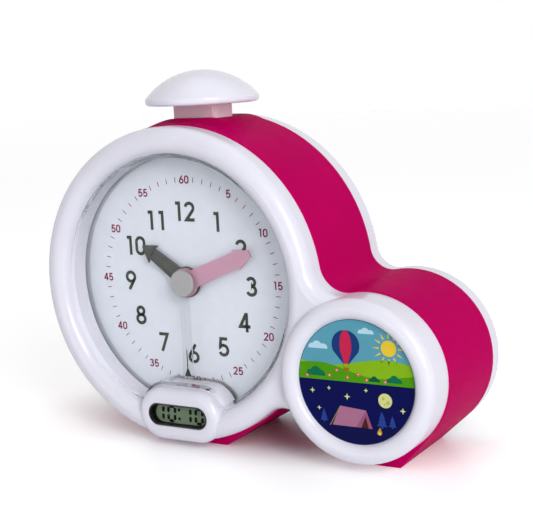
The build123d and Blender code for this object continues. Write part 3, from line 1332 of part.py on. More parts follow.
def slide_switches():
    """Slide switch bodies on the main board's wings."""
    y0 = BOARD_BACK
    middle = SLIDER_Z + SLIDER_TRAVEL / 2
    switches = []
    for side in (-1, 1):
        x = side * SLIDER_X
        switches.append(block(x - 3, x + 3, y0, SLIDE_SWITCH_TOP, middle - 6, middle + 6))
    return group(switches)


def main_board():
    """Main circuit board with its two wings."""
    back = BOARD_BACK
    body = block(-BOARD_HALF, BOARD_HALF, BOARD_Y, back, BOARD_LOW, BOARD_HIGH)
    for side in (-1, 1):
        x0, x1 = sorted((side * (BOARD_HALF - WING_LAP), side * WING_OUT))
        body += block(x0, x1, BOARD_Y, back, WING_LOW, WING_HIGH)
    for place in board_boss_places():
        body -= post(SMALL_SCREW_R + SCREW_FIT, BOARD_Y - 1, back + 1, *place)
    return body


def main_chips():
    """Controller, crystal can and capacitors on the front of the main board."""
    middle = (BOARD_LOW + BOARD_HIGH) / 2
    pieces = [block(-7, 7, BOARD_Y - 1.8, BOARD_Y, middle - 6, middle + 6)]
    pieces.append(block(-20, -12, BOARD_Y - 1.5, BOARD_Y, middle - 4, middle + 4))
    for x in (13.0, 20.0):
        pieces.append(post(2.5, BOARD_Y - 7, BOARD_Y, x, middle + 1))
    pieces.append(post(1.5, BOARD_Y - 6, BOARD_Y, 27, middle - 3))
    return group(pieces)


def set_knob():
    """Knob that sets the hands, with grip flutes."""
    body = post(KNOB_R, KNOB_BACK - KNOB_T, KNOB_BACK, *SET)
    body = fillet(edges_at(body, KNOB_BACK), 0.6)
    for k in range(KNOB_GRIPS):
        place = polar(KNOB_R + 0.5, k * 360 / KNOB_GRIPS, *SET)
        body -= post(1.0, KNOB_BACK - KNOB_T - 1, KNOB_BACK + 1, *place)
    return body - post(SET_SHAFT_R, KNOB_BACK - KNOB_T - 1, KNOB_BACK - 1, *SET)


def speaker():
    """Loudspeaker: basket, cone recess and magnet."""
    body = post(SPEAKER_R, SPEAKER_Y, SPEAKER_FRONT, *SMALL)
    body += post(SPEAKER_MAGNET_R, SPEAKER_Y - SPEAKER_MAGNET_T, SPEAKER_Y, *SMALL)
    depth = SPEAKER_T - 1
    cone = Rot(-90, 0, 0) * Cone(4.0, SPEAKER_R - GASKET_WIDTH, depth)
    return body - Pos(SMALL_X, SPEAKER_FRONT - depth / 2, SMALL_Z) * cone


def speaker_gasket():
    """Foam ring between the loudspeaker and the grille."""
    return tube(SPEAKER_R, SPEAKER_R - GASKET_WIDTH, SPEAKER_FRONT, COVER_INSIDE, *SMALL)


def power_jack():
    """Low-voltage inlet behind its hole in the cover."""
    half = JACK_BODY / 2
    front = COVER_INSIDE - JACK_DEPTH
    body = block(JACK_X - half, JACK_X + half, front, COVER_INSIDE, JACK_Z - half, JACK_Z + half)
    body -= post(JACK_HOLE_R, front + 2, CASE_BACK, JACK_X, JACK_Z)
    return body + post(JACK_PIN_R, front + 1, COVER_INSIDE - 1, JACK_X, JACK_Z)


# ================================================================ fasteners
def screw(place, seat, length, radius, head_r, head_t, facing):
    """Screw along Y: the head stands on the seat and faces back (+1) or front (-1)."""
    x, z = place
    face = seat + facing * head_t
    y0, y1 = sorted((seat, seat - facing * length))
    body = post(radius, y0, y1, x, z)
    y0, y1 = sorted((seat, face))
    body += post(head_r, y0, y1, x, z)
    for turn in (0, 90):
        body -= Pos(x, face, z) * Rot(0, turn, 0) * Box(head_r * 1.3, 1.2, head_r * 0.3)
    return body


def case_screws(places, length):
    return group([screw(p, SCREW_SEAT, length, SCREW_R, SCREW_HEAD_R, SCREW_HEAD_T, 1) for p in places])


def small_screws():
    """Identical short screws of the carrier, the boards and the display."""
    seats = [(p, CARRIER_Y + CARRIER_T, 1) for p in carrier_screw_places()]
    seats += [(p, LCD_BOARD_Y + LCD_BOARD_T, 1) for p in lcd_screw_places()]
    seats += [(p, LIGHT_BOX_BACK + BOARD_T, 1) for p in light_screw_places()]
    seats += [(p, BOARD_Y, -1) for p in board_boss_places()]
    size = (SMALL_SCREW, SMALL_SCREW_R, SMALL_HEAD_R, SMALL_HEAD_T)
    return group([screw(place, seat, *size, facing) for place, seat, facing in seats])


# ================================================================ nodes
def nodes():
    """Every node of the clock by name."""
    return {
        "front_bezel": front_bezel(),
        "clock_lens": clock_lens(),
        "dial_plate": dial_plate(),
        "dial_carrier": dial_carrier(),
        "hour_hand": hour_hand(),
        "minute_hand": minute_hand(),
        "second_hand": second_hand(),
        "centre_cap": centre_cap(),
        "dial_nut": dial_nut(),
        "movement_front": movement_front(),
        "movement_back": movement_back(),
        "coil": coil(),
        "stator": stator(),
        "rotor": rotor(),
        "intermediate_wheel": intermediate_wheel(),
        "seconds_wheel": seconds_wheel(),
        "third_wheel": third_wheel(),
        "centre_wheel": centre_wheel(),
        "minute_wheel": minute_wheel(),
        "hour_wheel": hour_wheel(),
        "set_wheel": set_wheel(),
        "set_knob": set_knob(),
        "lcd_shroud": lcd_shroud(),
        "lcd_window": lcd_layer(LCD_WIDTH, LCD_HEIGHT, LCD_WINDOW_Y, LCD_WINDOW_T),
        "lcd_glass": lcd_layer(LCD_WIDTH, LCD_HEIGHT, LCD_GLASS_Y, LCD_GLASS_T),
        "lcd_backlight": lcd_layer(LCD_WIDTH, LCD_LIGHT_HEIGHT, LCD_LIGHT_Y, LCD_LIGHT_T),
        "lcd_strips": lcd_strips(),
        "lcd_board": lcd_board(),
        "picture_disc": picture_disc(),
        "light_box": light_box(),
        "light_board": light_board(),
        "day_leds": leds(1),
        "night_leds": leds(-1),
        "mid_housing": mid_housing(),
        "button_cap": button_cap(),
        "button_stem": button_stem(),
        "button_spring": button_spring(),
        "button_bracket": button_bracket(),
        "button_switch": button_switch(),
        "rear_cover": rear_cover(),
        "battery_door": battery_door(),
        "battery_cells": battery_cells(),
        "battery_springs": battery_springs(),
        "battery_plates": battery_plates(),
        "mode_key": key(KEY_XS[0]),
        "set_key": key(KEY_XS[1]),
        "down_key": key(KEY_XS[2]),
        "up_key": key(KEY_XS[3]),
        "key_switches": key_switches(),
        "main_board": main_board(),
        "main_chips": main_chips(),
        "alarm_slider": slider(-1),
        "light_slider": slider(1),
        "slide_switches": slide_switches(),
        "power_jack": power_jack(),
        "speaker": speaker(),
        "speaker_gasket": speaker_gasket(),
        "long_screws": case_screws(big_screw_places(), LONG_SCREW),
        "short_screws": case_screws(small_screw_places(), SHORT_SCREW),
        "small_screws": small_screws(),
    }


if __name__ == "__main__":
    os.makedirs("parts", exist_ok=True)
    for name, shape in nodes().items():
        export_step(Pos(SHIFT) * shape, f"parts/{name}.step")
        print(name, len(shape.solids()), shape.is_valid, round(shape.volume, 1))
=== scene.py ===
"""Looks of a children's alarm clock with a round night light: finishes, prints, lamps and camera.

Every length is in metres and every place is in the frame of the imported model, whose front faces -Y.
"""

from __future__ import annotations

import logging
import math
from dataclasses import dataclass
from enum import Enum
from typing import Any, Iterable, Sequence

import bmesh
import bpy
from mathutils import Matrix, Vector

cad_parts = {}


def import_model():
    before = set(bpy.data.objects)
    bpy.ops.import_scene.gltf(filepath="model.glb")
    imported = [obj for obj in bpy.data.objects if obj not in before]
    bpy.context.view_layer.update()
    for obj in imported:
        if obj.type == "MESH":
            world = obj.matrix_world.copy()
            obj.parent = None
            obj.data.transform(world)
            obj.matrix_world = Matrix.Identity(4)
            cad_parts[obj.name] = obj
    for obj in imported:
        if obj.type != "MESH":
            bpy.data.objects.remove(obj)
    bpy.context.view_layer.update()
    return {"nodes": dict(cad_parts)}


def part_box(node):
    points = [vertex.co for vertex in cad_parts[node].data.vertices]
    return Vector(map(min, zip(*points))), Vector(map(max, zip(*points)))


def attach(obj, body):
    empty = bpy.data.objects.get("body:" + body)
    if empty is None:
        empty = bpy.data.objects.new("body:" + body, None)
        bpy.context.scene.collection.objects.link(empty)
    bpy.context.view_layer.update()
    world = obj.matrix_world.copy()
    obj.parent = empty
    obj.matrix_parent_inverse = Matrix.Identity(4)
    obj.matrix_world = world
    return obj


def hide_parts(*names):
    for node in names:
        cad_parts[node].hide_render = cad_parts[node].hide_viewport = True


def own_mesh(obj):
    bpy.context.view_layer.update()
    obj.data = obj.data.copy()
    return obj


LOG = logging.getLogger("alarm_clock")
MM = 0.001
FIELD_SPAN = (0.3, 0.7)     # what the values of a soft random field mostly keep within
WAVE_RADIANS = 20           # how far a wave texture's phase runs per unit, at a scale of 1
Point = tuple[float, float]
Spot = tuple[float, float, float]
Colour = tuple[float, float, float, float]
Tree = bpy.types.NodeTree
Socket = bpy.types.NodeSocket


# ---------------------------------------------------------------- colour and nodes
def linear(hex_colour: str) -> Colour:
    """Turns an sRGB hex colour into linear light.

    Args:
        hex_colour: six hex digits, such as "c4005f".

    Returns:
        Red, green, blue and a full alpha, as shader sockets take them.
    """
    channels = (int(hex_colour[k:k + 2], 16) / 255 for k in (0, 2, 4))
    red, green, blue = (c / 12.92 if c <= 0.04045 else ((c + 0.055) / 1.055) ** 2.4 for c in channels)
    return (red, green, blue, 1.0)


def per_mm(length_mm: float) -> float:
    """Texture scale, per metre, of a pattern that repeats every so many millimetres."""
    return 1 / (length_mm * MM)


def add_node(
    tree: Tree,
    kind: str,
    inputs: dict[str | int, Any] | None = None,
    stops: Sequence[Colour] = (),
    **settings: Any,
) -> bpy.types.Node:
    """Adds one shader node with its settings, values and links.

    Args:
        tree: the node tree that takes it.
        kind: the node's Blender type.
        inputs: socket name or index to a value, or to the output socket that feeds it.
        stops: a colour ramp's two colours, for the low and the high end of a soft field.
        **settings: the node's own properties.

    Returns:
        The new node.
    """
    node = tree.nodes.new(kind)
    for name, value in settings.items():
        setattr(node, name, value)
    for k, colour in enumerate(stops):
        node.color_ramp.elements[k].position = FIELD_SPAN[k]
        node.color_ramp.elements[k].color = colour
    for name, value in (inputs or {}).items():
        if isinstance(value, Socket):
            tree.links.new(value, node.inputs[name])
        else:
            node.inputs[name].default_value = value
    return node


def cloud(tree: Tree, size_mm: float, detail: float = 2.0) -> Socket:
    """A soft random field over the piece's own coordinates.

    Args:
        tree: the node tree that takes it.
        size_mm: how wide one patch of the field is.
        detail: octaves of finer patches.

    Returns:
        The field's value socket.
    """
    where = add_node(tree, "ShaderNodeTexCoord")
    noise = add_node(
        tree,
        "ShaderNodeTexNoise",
        {"Vector": where.outputs["Object"], "Scale": per_mm(size_mm), "Detail": detail},
    )
    return noise.outputs["Fac"]


def any_ray(tree: Tree, *kinds: str) -> Socket:
    """One for a ray of any of the given kinds, and nought for the others.

    Args:
        tree: the node tree that takes it.
        *kinds: the light path's outputs for those kinds.

    Returns:
        The value socket.
    """
    path = add_node(tree, "ShaderNodeLightPath")
    found = path.outputs[kinds[0]]
    for kind in kinds[1:]:
        either = add_node(tree, "ShaderNodeMath", {0: found, 1: path.outputs[kind]}, operation="MAXIMUM")
        found = either.outputs[0]
    return found


# ---------------------------------------------------------------- finishes
@dataclass(frozen=True)
class Finish:
    """A finish: its material's name, its sRGB hex colour and the nodes that make it."""

    name: str
    colour: str

    def build(self) -> bpy.types.Material:
        """Makes the material."""
        material = bpy.data.materials.new(self.name)
        material.use_nodes = True
        tree = material.node_tree
        tree.nodes.clear()
        add_node(tree, "ShaderNodeOutputMaterial", {"Surface": self.shader(tree)})
        return material

    def shader(self, tree: Tree) -> Socket:
        """Adds the finish's nodes and hands back their shader."""
        raise NotImplementedError

    def tones(self, darker: float, lighter: float) -> tuple[Colour, Colour]:
        """The colour in linear light, made darker and made lighter by shares of itself."""
        red, green, blue, alpha = linear(self.colour)
        factors = (1 - darker, 1 + lighter)
        return tuple((min(red * f, 1), min(green * f, 1), min(blue * f, 1), alpha) for f in factors)

    @staticmethod
    def surface(
        tree: Tree,
        shades: tuple[Socket, Colour, Colour],
        values: dict[str, Any],
        relief: tuple[Socket, float, float] | None = None,
    ) -> Socket:
        """A surface whose colour follows one field and whose relief follows another.

        Args:
            tree: the node tree that takes it.
            shades: the colour's field, and the colours of that field's low and high end.
            values: the surface's other inputs, by socket name.
            relief: the relief's field, its strength, and its height in millimetres.

        Returns:
            The surface's shader.
        """
        field, *stops = shades
        colour = add_node(tree, "ShaderNodeValToRGB", {"Fac": field}, stops=stops)
        inputs = {"Base Color": colour.outputs["Color"], **values}
        if relief:
            height, strength, height_mm = relief
            raised = {"Height": height, "Strength": strength, "Distance": height_mm * MM}
            inputs["Normal"] = add_node(tree, "ShaderNodeBump", raised).outputs["Normal"]
        return add_node(tree, "ShaderNodeBsdfPrincipled", inputs).outputs["BSDF"]


class Texture(Enum):
    """What the mould's steel left on a moulded surface: grain size in mm and height in mm."""

    POLISHED = (6.0, 0.02)
    SATIN = (0.9, 0.012)
    MATT = (0.6, 0.02)


@dataclass(frozen=True)
class MouldedPlastic(Finish):
    """Injection-moulded plastic with a polished, satin or matt mould texture.

    The colour drifts a little with the melt's flow, and the mould's texture breaks up the gloss.
    """

    roughness: float
    texture: Texture
    ior: float = 1.53
    specular: float = 0.5
    tone: float = 0.03
    glow: float = 0.0
    glow_mm: float = 2.0
    flow_mm: float = 28.0
    patch_grains: float = 3.0
    gloss_drift: float = 0.12
    relief: float = 0.35

    def shader(self, tree: Tree) -> Socket:
        """Adds the plastic's nodes and hands back their shader."""
        grain_mm, height_mm = self.texture.value
        gloss = add_node(
            tree,
            "ShaderNodeMapRange",
            {
                "Value": cloud(tree, grain_mm * self.patch_grains, detail=3.0),
                "From Min": FIELD_SPAN[0],
                "From Max": FIELD_SPAN[1],
                "To Min": self.roughness * (1 - self.gloss_drift),
                "To Max": self.roughness * (1 + self.gloss_drift),
            },
        )
        return self.surface(
            tree,
            (cloud(tree, self.flow_mm), *self.tones(self.tone, self.tone)),
            {
                "Roughness": gloss.outputs["Result"],
                "IOR": self.ior,
                "Specular IOR Level": self.specular,
                "Subsurface Weight": self.glow,
                "Subsurface Scale": self.glow_mm * MM,
            },
            (cloud(tree, grain_mm, detail=3.0), self.relief, height_mm),
        )


@dataclass(frozen=True)
class ClearPlastic(Finish):
    """Transparent plastic, moulded and polished, or tinted with a translucent dye.

    Lamps reach what lies behind it, so the dial is lit through its lens.
    """

    roughness: float = 0.015
    ior: float = 1.49
    milky: float = 0.0
    wave_mm: float = 14.0
    relief: float = 0.15
    depth_mm: float = 0.02

    def shader(self, tree: Tree) -> Socket:
        """Adds the clear plastic's nodes and hands back their shader."""
        waves = cloud(tree, self.wave_mm)
        bump = add_node(
            tree,
            "ShaderNodeBump",
            {"Height": waves, "Strength": self.relief, "Distance": self.depth_mm * MM},
        )
        clear = add_node(
            tree,
            "ShaderNodeBsdfPrincipled",
            {
                "Base Color": linear(self.colour),
                "Roughness": self.roughness,
                "IOR": self.ior,
                "Transmission Weight": 1.0 - self.milky,
                "Normal": bump.outputs["Normal"],
            },
        )
        through = add_node(tree, "ShaderNodeBsdfTransparent", {"Color": linear(self.colour)})
        shadow = any_ray(tree, "Is Shadow Ray")
        glass = add_node(
            tree,
            "ShaderNodeMixShader",
            {0: shadow, 1: clear.outputs["BSDF"], 2: through.outputs["BSDF"]},
        )
        return glass.outputs["Shader"]


@dataclass(frozen=True)
class PrintedCard(Finish):
    """Coated card or film with flat printed colour: faint paper fibre and a soft sheen."""

    roughness: float = 0.55
    fibre_mm: float = 0.5
    tone: float = 0.025
    specular: float = 0.5
    ior: float = 1.5
    patch_fibres: float = 8.0
    relief: float = 0.12
    depth_mm: float = 0.01

    def shader(self, tree: Tree) -> Socket:
        """Adds the card's nodes and hands back their shader."""
        patches = cloud(tree, self.fibre_mm * self.patch_fibres, detail=4.0)
        return self.surface(
            tree,
            (patches, *self.tones(self.tone, self.tone)),
            {"Roughness": self.roughness, "IOR": self.ior, "Specular IOR Level": self.specular},
            (cloud(tree, self.fibre_mm), self.relief, self.depth_mm),
        )


class Working(Enum):
    """How a metal part was worked: grain length in mm, and how much longer than wide the grain is."""

    DRAWN = (0.5, 12.0)
    STAMPED = (1.5, 3.0)
    TURNED = (0.4, 6.0)


@dataclass(frozen=True)
class BareMetal(Finish):
    """Bare metal with the fine grain that its working left."""

    roughness: float
    working: Working
    darker: float = 0.12
    lighter: float = 0.08
    gloss_drift: float = 0.25

    def shader(self, tree: Tree) -> Socket:
        """Adds the metal's nodes and hands back their shader."""
        grain_mm, stretch = self.working.value
        where = add_node(tree, "ShaderNodeTexCoord")
        drawn = add_node(
            tree,
            "ShaderNodeMapping",
            {"Vector": where.outputs["Object"], "Scale": (1.0, 1.0, stretch)},
        )
        grain = add_node(
            tree,
            "ShaderNodeTexNoise",
            {"Vector": drawn.outputs["Vector"], "Scale": per_mm(grain_mm * stretch), "Detail": 3.0},
        )
        gloss = add_node(
            tree,
            "ShaderNodeMapRange",
            {
                "Value": grain.outputs["Fac"],
                "To Min": self.roughness * (1 - self.gloss_drift),
                "To Max": self.roughness * (1 + self.gloss_drift),
            },
        )
        return self.surface(
            tree,
            (grain.outputs["Fac"], *self.tones(self.darker, self.lighter)),
            {"Metallic": 1.0, "Roughness": gloss.outputs["Result"]},
        )


@dataclass(frozen=True)
class Wound(Finish):
    """Something with fine parallel turns or rings, such as a coil's enamelled wire or a paper cone.

    One radian of the wave is turn_mm long, so a turn is drawn six times as wide as that, and wider
    than the real one, so that it shows.
    """

    roughness: float
    turn_mm: float
    metallic: float = 0.0
    darker: float = 0.35
    lighter: float = 0.1
    wander: float = 0.4
    relief: float = 0.5
    depth: float = 0.3

    def shader(self, tree: Tree) -> Socket:
        """Adds the turns' nodes and hands back their shader."""
        where = add_node(tree, "ShaderNodeTexCoord")
        turns = add_node(
            tree,
            "ShaderNodeTexWave",
            {
                "Vector": where.outputs["Object"],
                "Scale": per_mm(self.turn_mm) / WAVE_RADIANS,
                "Distortion": self.wander,
            },
            wave_type="BANDS",
            bands_direction="X",
        )
        return self.surface(
            tree,
            (turns.outputs["Fac"], *self.tones(self.darker, self.lighter)),
            {"Metallic": self.metallic, "Roughness": self.roughness},
            (turns.outputs["Fac"], self.relief, self.turn_mm * self.depth),
        )


@dataclass(frozen=True)
class SolderMask(Finish):
    """Glass-epoxy board under green lacquer, with paler copper tracks showing through."""

    track_colour: str
    track_mm: float
    roughness: float = 0.32
    ior: float = 1.5
    wander: float = 0.6
    relief: float = 0.3
    depth_mm: float = 0.03

    def shader(self, tree: Tree) -> Socket:
        """Adds the board's nodes and hands back their shader."""
        where = add_node(tree, "ShaderNodeTexCoord")
        tracks = add_node(
            tree,
            "ShaderNodeTexVoronoi",
            {
                "Vector": where.outputs["Object"],
                "Scale": per_mm(self.track_mm),
                "Randomness": self.wander,
            },
            distance="MANHATTAN",
            feature="F2",
        )
        edge = tracks.outputs["Distance"]
        return self.surface(
            tree,
            (edge, linear(self.colour), linear(self.track_colour)),
            {"Roughness": self.roughness, "IOR": self.ior},
            (edge, self.relief, self.depth_mm),
        )


@dataclass(frozen=True)
class TableLaminate(Finish):
    """White semi-gloss table top that fades into the background and keeps the clock's shadow, darkened by a
    painted shadow: it is lifted to white only outside an ellipse about the clock.
    """

    pale_colour: str
    patch_mm: float = 60.0
    roughness: float = 0.3
    ior: float = 1.45
    specular: float = 0.3
    lift: float = 0.4
    fade: Point = (0.4, 0.9)
    # middle and half widths of the painted shadow, where the top is not lifted
    shade_middle: Point = (-12 * MM, 25 * MM)
    shade_radii: Point = (152 * MM, 85 * MM)

    def shader(self, tree: Tree) -> Socket:
        """Adds the laminate's nodes and hands back their shader."""
        return self.surface(
            tree,
            (cloud(tree, self.patch_mm), linear(self.colour), linear(self.pale_colour)),
            {
                "Roughness": self.roughness,
                "IOR": self.ior,
                "Specular IOR Level": self.specular,
                "Emission Color": linear("ffffff"),
                "Emission Strength": self.faded(tree),
            },
        )

    def faded(self, tree: Tree) -> Socket:
        """How far the top is lifted where it is seen or mirrored: nought in the painted shadow's ellipse
        about the clock, more with the way out from it.

        Args:
            tree: the node tree that takes it.

        Returns:
            The strength's value socket.
        """
        where = add_node(tree, "ShaderNodeTexCoord")
        around = add_node(
            tree,
            "ShaderNodeMapping",
            {
                "Vector": where.outputs["Object"],
                "Location": (-self.shade_middle[0], -self.shade_middle[1], 0),
            },
        )
        squeezed = add_node(
            tree,
            "ShaderNodeVectorMath",
            {0: around.outputs["Vector"], 1: (1 / self.shade_radii[0], 1 / self.shade_radii[1], 0)},
            operation="MULTIPLY",
        )
        reach = add_node(
            tree, "ShaderNodeVectorMath", {0: squeezed.outputs["Vector"]}, operation="LENGTH"
        )
        lift = add_node(
            tree,
            "ShaderNodeMapRange",
            {
                "Value": reach.outputs["Value"],
                "From Min": self.fade[0],
                "From Max": self.fade[1],
                "To Min": 0.0,
                "To Max": self.lift,
            },
            interpolation_type="SMOOTHSTEP",
        )
        seen = any_ray(tree, "Is Camera Ray", "Is Glossy Ray")
        share = add_node(
            tree, "ShaderNodeMath", {0: seen, 1: lift.outputs["Result"]}, operation="MULTIPLY"
        )
        return share.outputs[0]


# Acrylonitrile-butadiene-styrene from a polished mould: a wet gloss with a trace of orange peel.
WHITE_GLOSS = MouldedPlastic("abs_white_polished_moulding", "eae9f6", 0.2, Texture.POLISHED, glow=0.06)
# The stem is the same white; a pink reflection of the magenta band round it, and some shade, are painted
# into its colour.
WHITE_GLOSS_PAINTED_BAND_REFLECTION = MouldedPlastic("abs_white_polished_painted_band_reflection", "eccad8", 0.2, Texture.POLISHED, glow=0.06)
# The same white from a plain mould, inside the case: flat and slightly greyer.
WHITE_PLAIN = MouldedPlastic("abs_white_plain_moulding", "dddde2", 0.5, Texture.SATIN)
# Magenta ABS from a finely eroded mould: an even satin that spreads its highlights.
MAGENTA_SATIN = MouldedPlastic(
    "abs_magenta_satin_moulding", "c1005d", 0.5, Texture.SATIN, specular=0.01, tone=0.04
)
# Black ABS from a sparked mould: a dull, even black.
BLACK_MATT = MouldedPlastic("abs_black_matt_moulding", "17181b", 0.5, Texture.MATT)
# Grey ABS, polished: a small clear highlight in the middle of the hands.
GREY_GLOSS = MouldedPlastic("abs_grey_polished_moulding", "959597", 0.3, Texture.POLISHED)
# Dark grey ABS, satin: a hand that reads as one flat shape.
HAND_GREY = MouldedPlastic("abs_dark_grey_moulding", "4b4e4b", 0.45, Texture.SATIN, specular=0.2)
# Undyed acetal: a warm, slightly waxy white.
NATURAL_ACETAL = MouldedPlastic("acetal_natural_moulding", "e6e1d2", 0.38, Texture.SATIN, ior=1.48)
# Epoxy moulded round chips and switches: a dusty black.
MOULDED_EPOXY = MouldedPlastic("epoxy_black_moulding", "1b1c1f", 0.55, Texture.MATT)
# Moulded silicone rubber: a soft black with hardly a highlight.
RUBBER = MouldedPlastic("silicone_rubber_strip", "2b2c2e", 0.7, Texture.MATT, ior=1.41)
# Vinyl shrunk tight round a cell: smooth dark blue with a long highlight.
CELL_WRAP = MouldedPlastic("pvc_shrink_wrap", "27356b", 0.3, Texture.POLISHED)
# Opal acrylic: a pale green-white that spreads its lamp's light.
WHITE_DIFFUSER = MouldedPlastic("acrylic_opal_diffuser", "d8e2ce", 0.45, Texture.SATIN, ior=1.49)
# Sintered ferrite: a grainy charcoal.
FERRITE = MouldedPlastic("ferrite_sintered", "383a3d", 0.6, Texture.MATT, ior=1.8)
# Acrylic, moulded against polished steel and coated: clear, with soft grey edges where it turns.
CLEAR_ACRYLIC = ClearPlastic("acrylic_clear_polished", "f3f3f3", ior=1.1)
# The same with a coating against reflections: what lies behind it stays dark and crisp.
COATED_ACRYLIC = ClearPlastic("acrylic_clear_coated", "f8faf8", ior=1.04)
# Pink acrylic with a milky dye: light comes through, shapes don't.
PINK_ACRYLIC = ClearPlastic("acrylic_pink_translucent", "cd9fb5", roughness=0.3, milky=0.6)
# Tinted epoxy cast round a lamp's chip: a milky bead, warm or amber.
WARM_LED = ClearPlastic("epoxy_lamp_warm", "fff0d0", roughness=0.2, milky=0.3)
AMBER_LED = ClearPlastic("epoxy_lamp_amber", "ffb04a", roughness=0.2, milky=0.3)
# Coated card printed pale grey: a flat, cool ground for the numbers.
DIAL_CARD = PrintedCard("card_pale_grey_coated", "c9ced8", 0.5, specular=0.2)
# Display glass with its polarisers: a smooth grey-green.
LCD_GLASS = PrintedCard("glass_liquid_crystal", "596654", 0.22, fibre_mm=1.2, specular=0.2)
# Cut foam: a rough charcoal whose open cells mottle it.
FOAM = PrintedCard("foam_polyurethane_cut", "37373a", 0.9, fibre_mm=0.8, tone=0.2)
# Polyester film: smooth dark blue with a soft sheen.
PICTURE_FILM = PrintedCard("polyester_film_printed", "16204a", 0.32)
# Screened inks: flat colour with a dry surface.
HOUR_INK = PrintedCard("ink_olive_grey_screened", "363c33", 0.5, specular=0.2)
MINUTE_INK = PrintedCard("ink_magenta_screened", "7a043c", 0.5, specular=0.2)
ARROW_INK = PrintedCard("ink_black_screened", "2b2f28", 0.5, specular=0.2)
MASK_INK = PrintedCard("ink_black_mask", "050506", 0.5, specular=0.2)
# Driven liquid crystal stops the light: near black bars with crisp edges.
DARK_CRYSTAL = PrintedCard("liquid_crystal_dark", "050606", 0.3, specular=0.05)
# Zinc-plated steel: a cool grey with fine rings.
STEEL = BareMetal("steel_zinc_plated", "b9bcc0", 0.3, Working.TURNED)
# Drawn spring wire: bright, with fine lines.
SPRING_STEEL = BareMetal("steel_spring_wire", "c2c4c6", 0.22, Working.DRAWN)
# Turned brass: warm yellow with fine rings.
BRASS = BareMetal("brass_turned", "c6a25b", 0.28, Working.TURNED)
# Stamped soft iron: a dull mid grey.
SOFT_IRON = BareMetal("iron_sheet_stamped", "9b9da0", 0.42, Working.STAMPED)
# Enamelled copper wire in close turns: dark orange with a glint on each turn.
COPPER_WIRE = Wound("copper_wire_enamelled", "b5652f", 0.3, 0.25, metallic=0.9)
# Pressed paper: dull black with faint rings.
PAPER_CONE = Wound("paper_cone_pressed", "222326", 0.75, 1.5)
# Solder mask over copper tracks: green lacquer with paler lines under it.
BOARD = SolderMask("glass_epoxy_solder_mask", "1c5c33", "2f7d49", 4.0)
# Melamine laminate: white, with a soft mirror image at the clock's foot, and a painted shadow about the
# clock where its lift to white is left out.
TABLE_WHITE = TableLaminate("laminate_white_semi_gloss", "f8f8fa", "fbfbfc")


class FinishShelf:
    """Holds each finish once it is made, so that pieces of one material share it."""

    def __init__(self) -> None:
        """Starts with nothing made."""
        self._made: dict[str, bpy.types.Material] = {}

    def take(self, finish: Finish) -> bpy.types.Material:
        """The finish's material, made on the first call."""
        if finish.name not in self._made:
            self._made[finish.name] = finish.build()
        return self._made[finish.name]


# ---------------------------------------------------------------- flat shapes
def arc(centre: Point, radii: Point, start: float, end: float, steps: int = 20) -> list[Point]:
    """Points along part of an ellipse.

    Args:
        centre: its middle.
        radii: half width and half height.
        start: first direction, in degrees counter-clockwise from +X.
        end: last direction.
        steps: how many chords.

    Returns:
        The points, both ends included.
    """
    turns = [math.radians(start + (end - start) * k / steps) for k in range(steps + 1)]
    return [(centre[0] + radii[0] * math.cos(t), centre[1] + radii[1] * math.sin(t)) for t in turns]


def disc(centre: Point, radius: float) -> list[Point]:
    """A round outline."""
    return arc(centre, (radius, radius), 0, 350, 35)


def middle_of(part: str) -> Point:
    """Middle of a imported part's box, across and up."""
    low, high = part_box(part)
    return ((low.x + high.x) / 2, (low.z + high.z) / 2)


def sun_ray(centre: Point, span: Point, half: float, turn_deg: float) -> list[Point]:
    """A thin wedge that points away from a centre.

    Args:
        centre: what it points away from.
        span: how far from the centre it starts and ends.
        half: half its width at its start.
        turn_deg: its direction, counter-clockwise from +X.

    Returns:
        Its three corners.
    """
    turn = math.radians(turn_deg)
    ahead, side = Vector((math.cos(turn), math.sin(turn))), Vector((-math.sin(turn), math.cos(turn)))
    root, tip = (Vector(centre) + ahead * reach for reach in span)
    return [tuple(root - side * half), tuple(tip), tuple(root + side * half)]


CLOUD_HEADS = ((-2.8, 0.4, 1.7), (-0.4, 0.9, 2.3), (2.6, 0.3, 1.9))
BUSH_HEADS = ((-2.4, 0.6, 1.9), (0.0, 1.6, 2.4), (2.4, 0.5, 2.0))


def tufts(spot: Spot, heads: Sequence[Spot], steps: int = 60) -> list[Point]:
    """One outline round overlapping discs that stand on a level line.

    Args:
        spot: a point of the level line inside the discs, and the scale of the discs.
        heads: each disc's place right of and above that point, and its radius.
        steps: how many chords.

    Returns:
        The outline, from the right end over the top to the left end.
    """
    x, z, size = spot
    outline = []
    for k in range(steps + 1):
        turn = math.radians(180 * k / steps)
        reach = 0.0
        for right, rise, radius in heads:
            along = right * math.cos(turn) + rise * math.sin(turn)
            chord = radius**2 - right**2 - rise**2 + along**2
            if chord > 0:
                reach = max(reach, along + math.sqrt(chord))
        outline.append((x + size * reach * math.cos(turn), z + size * reach * math.sin(turn)))
    return outline


STAR_WAIST = 0.36           # how far a star's inner corners reach, as a share of its points


def sparkle(spot: Spot) -> list[Point]:
    """A four-pointed star about its middle."""
    x, z, size = spot
    points = []
    for k in range(8):
        reach = size * STAR_WAIST if k % 2 else size
        turn = math.radians(90 + 45 * k)
        points.append((x + reach * math.cos(turn), z + reach * math.sin(turn)))
    return points


FIR_SIDE = ((0.4, 0.0), (0.4, 0.9), (2.4, 0.9), (1.2, 2.5), (1.9, 2.5), (0.95, 4.1), (1.4, 4.1))
FIR_TOP = (0.0, 7.3)


def fir(spot: Spot) -> list[Point]:
    """A fir of three tiers on a short trunk, as one outline about its foot."""
    x, z, size = spot
    left = [(-across, rise) for across, rise in reversed(FIR_SIDE)]
    return [(x + across * size, z + rise * size) for across, rise in (*FIR_SIDE, FIR_TOP, *left)]


FLAME_BULB = 0.45           # radius of a flame's round foot, as a share of its size
FLAME_TIP = (0.1, 1.3)      # where its tip stands from its foot, in the same shares


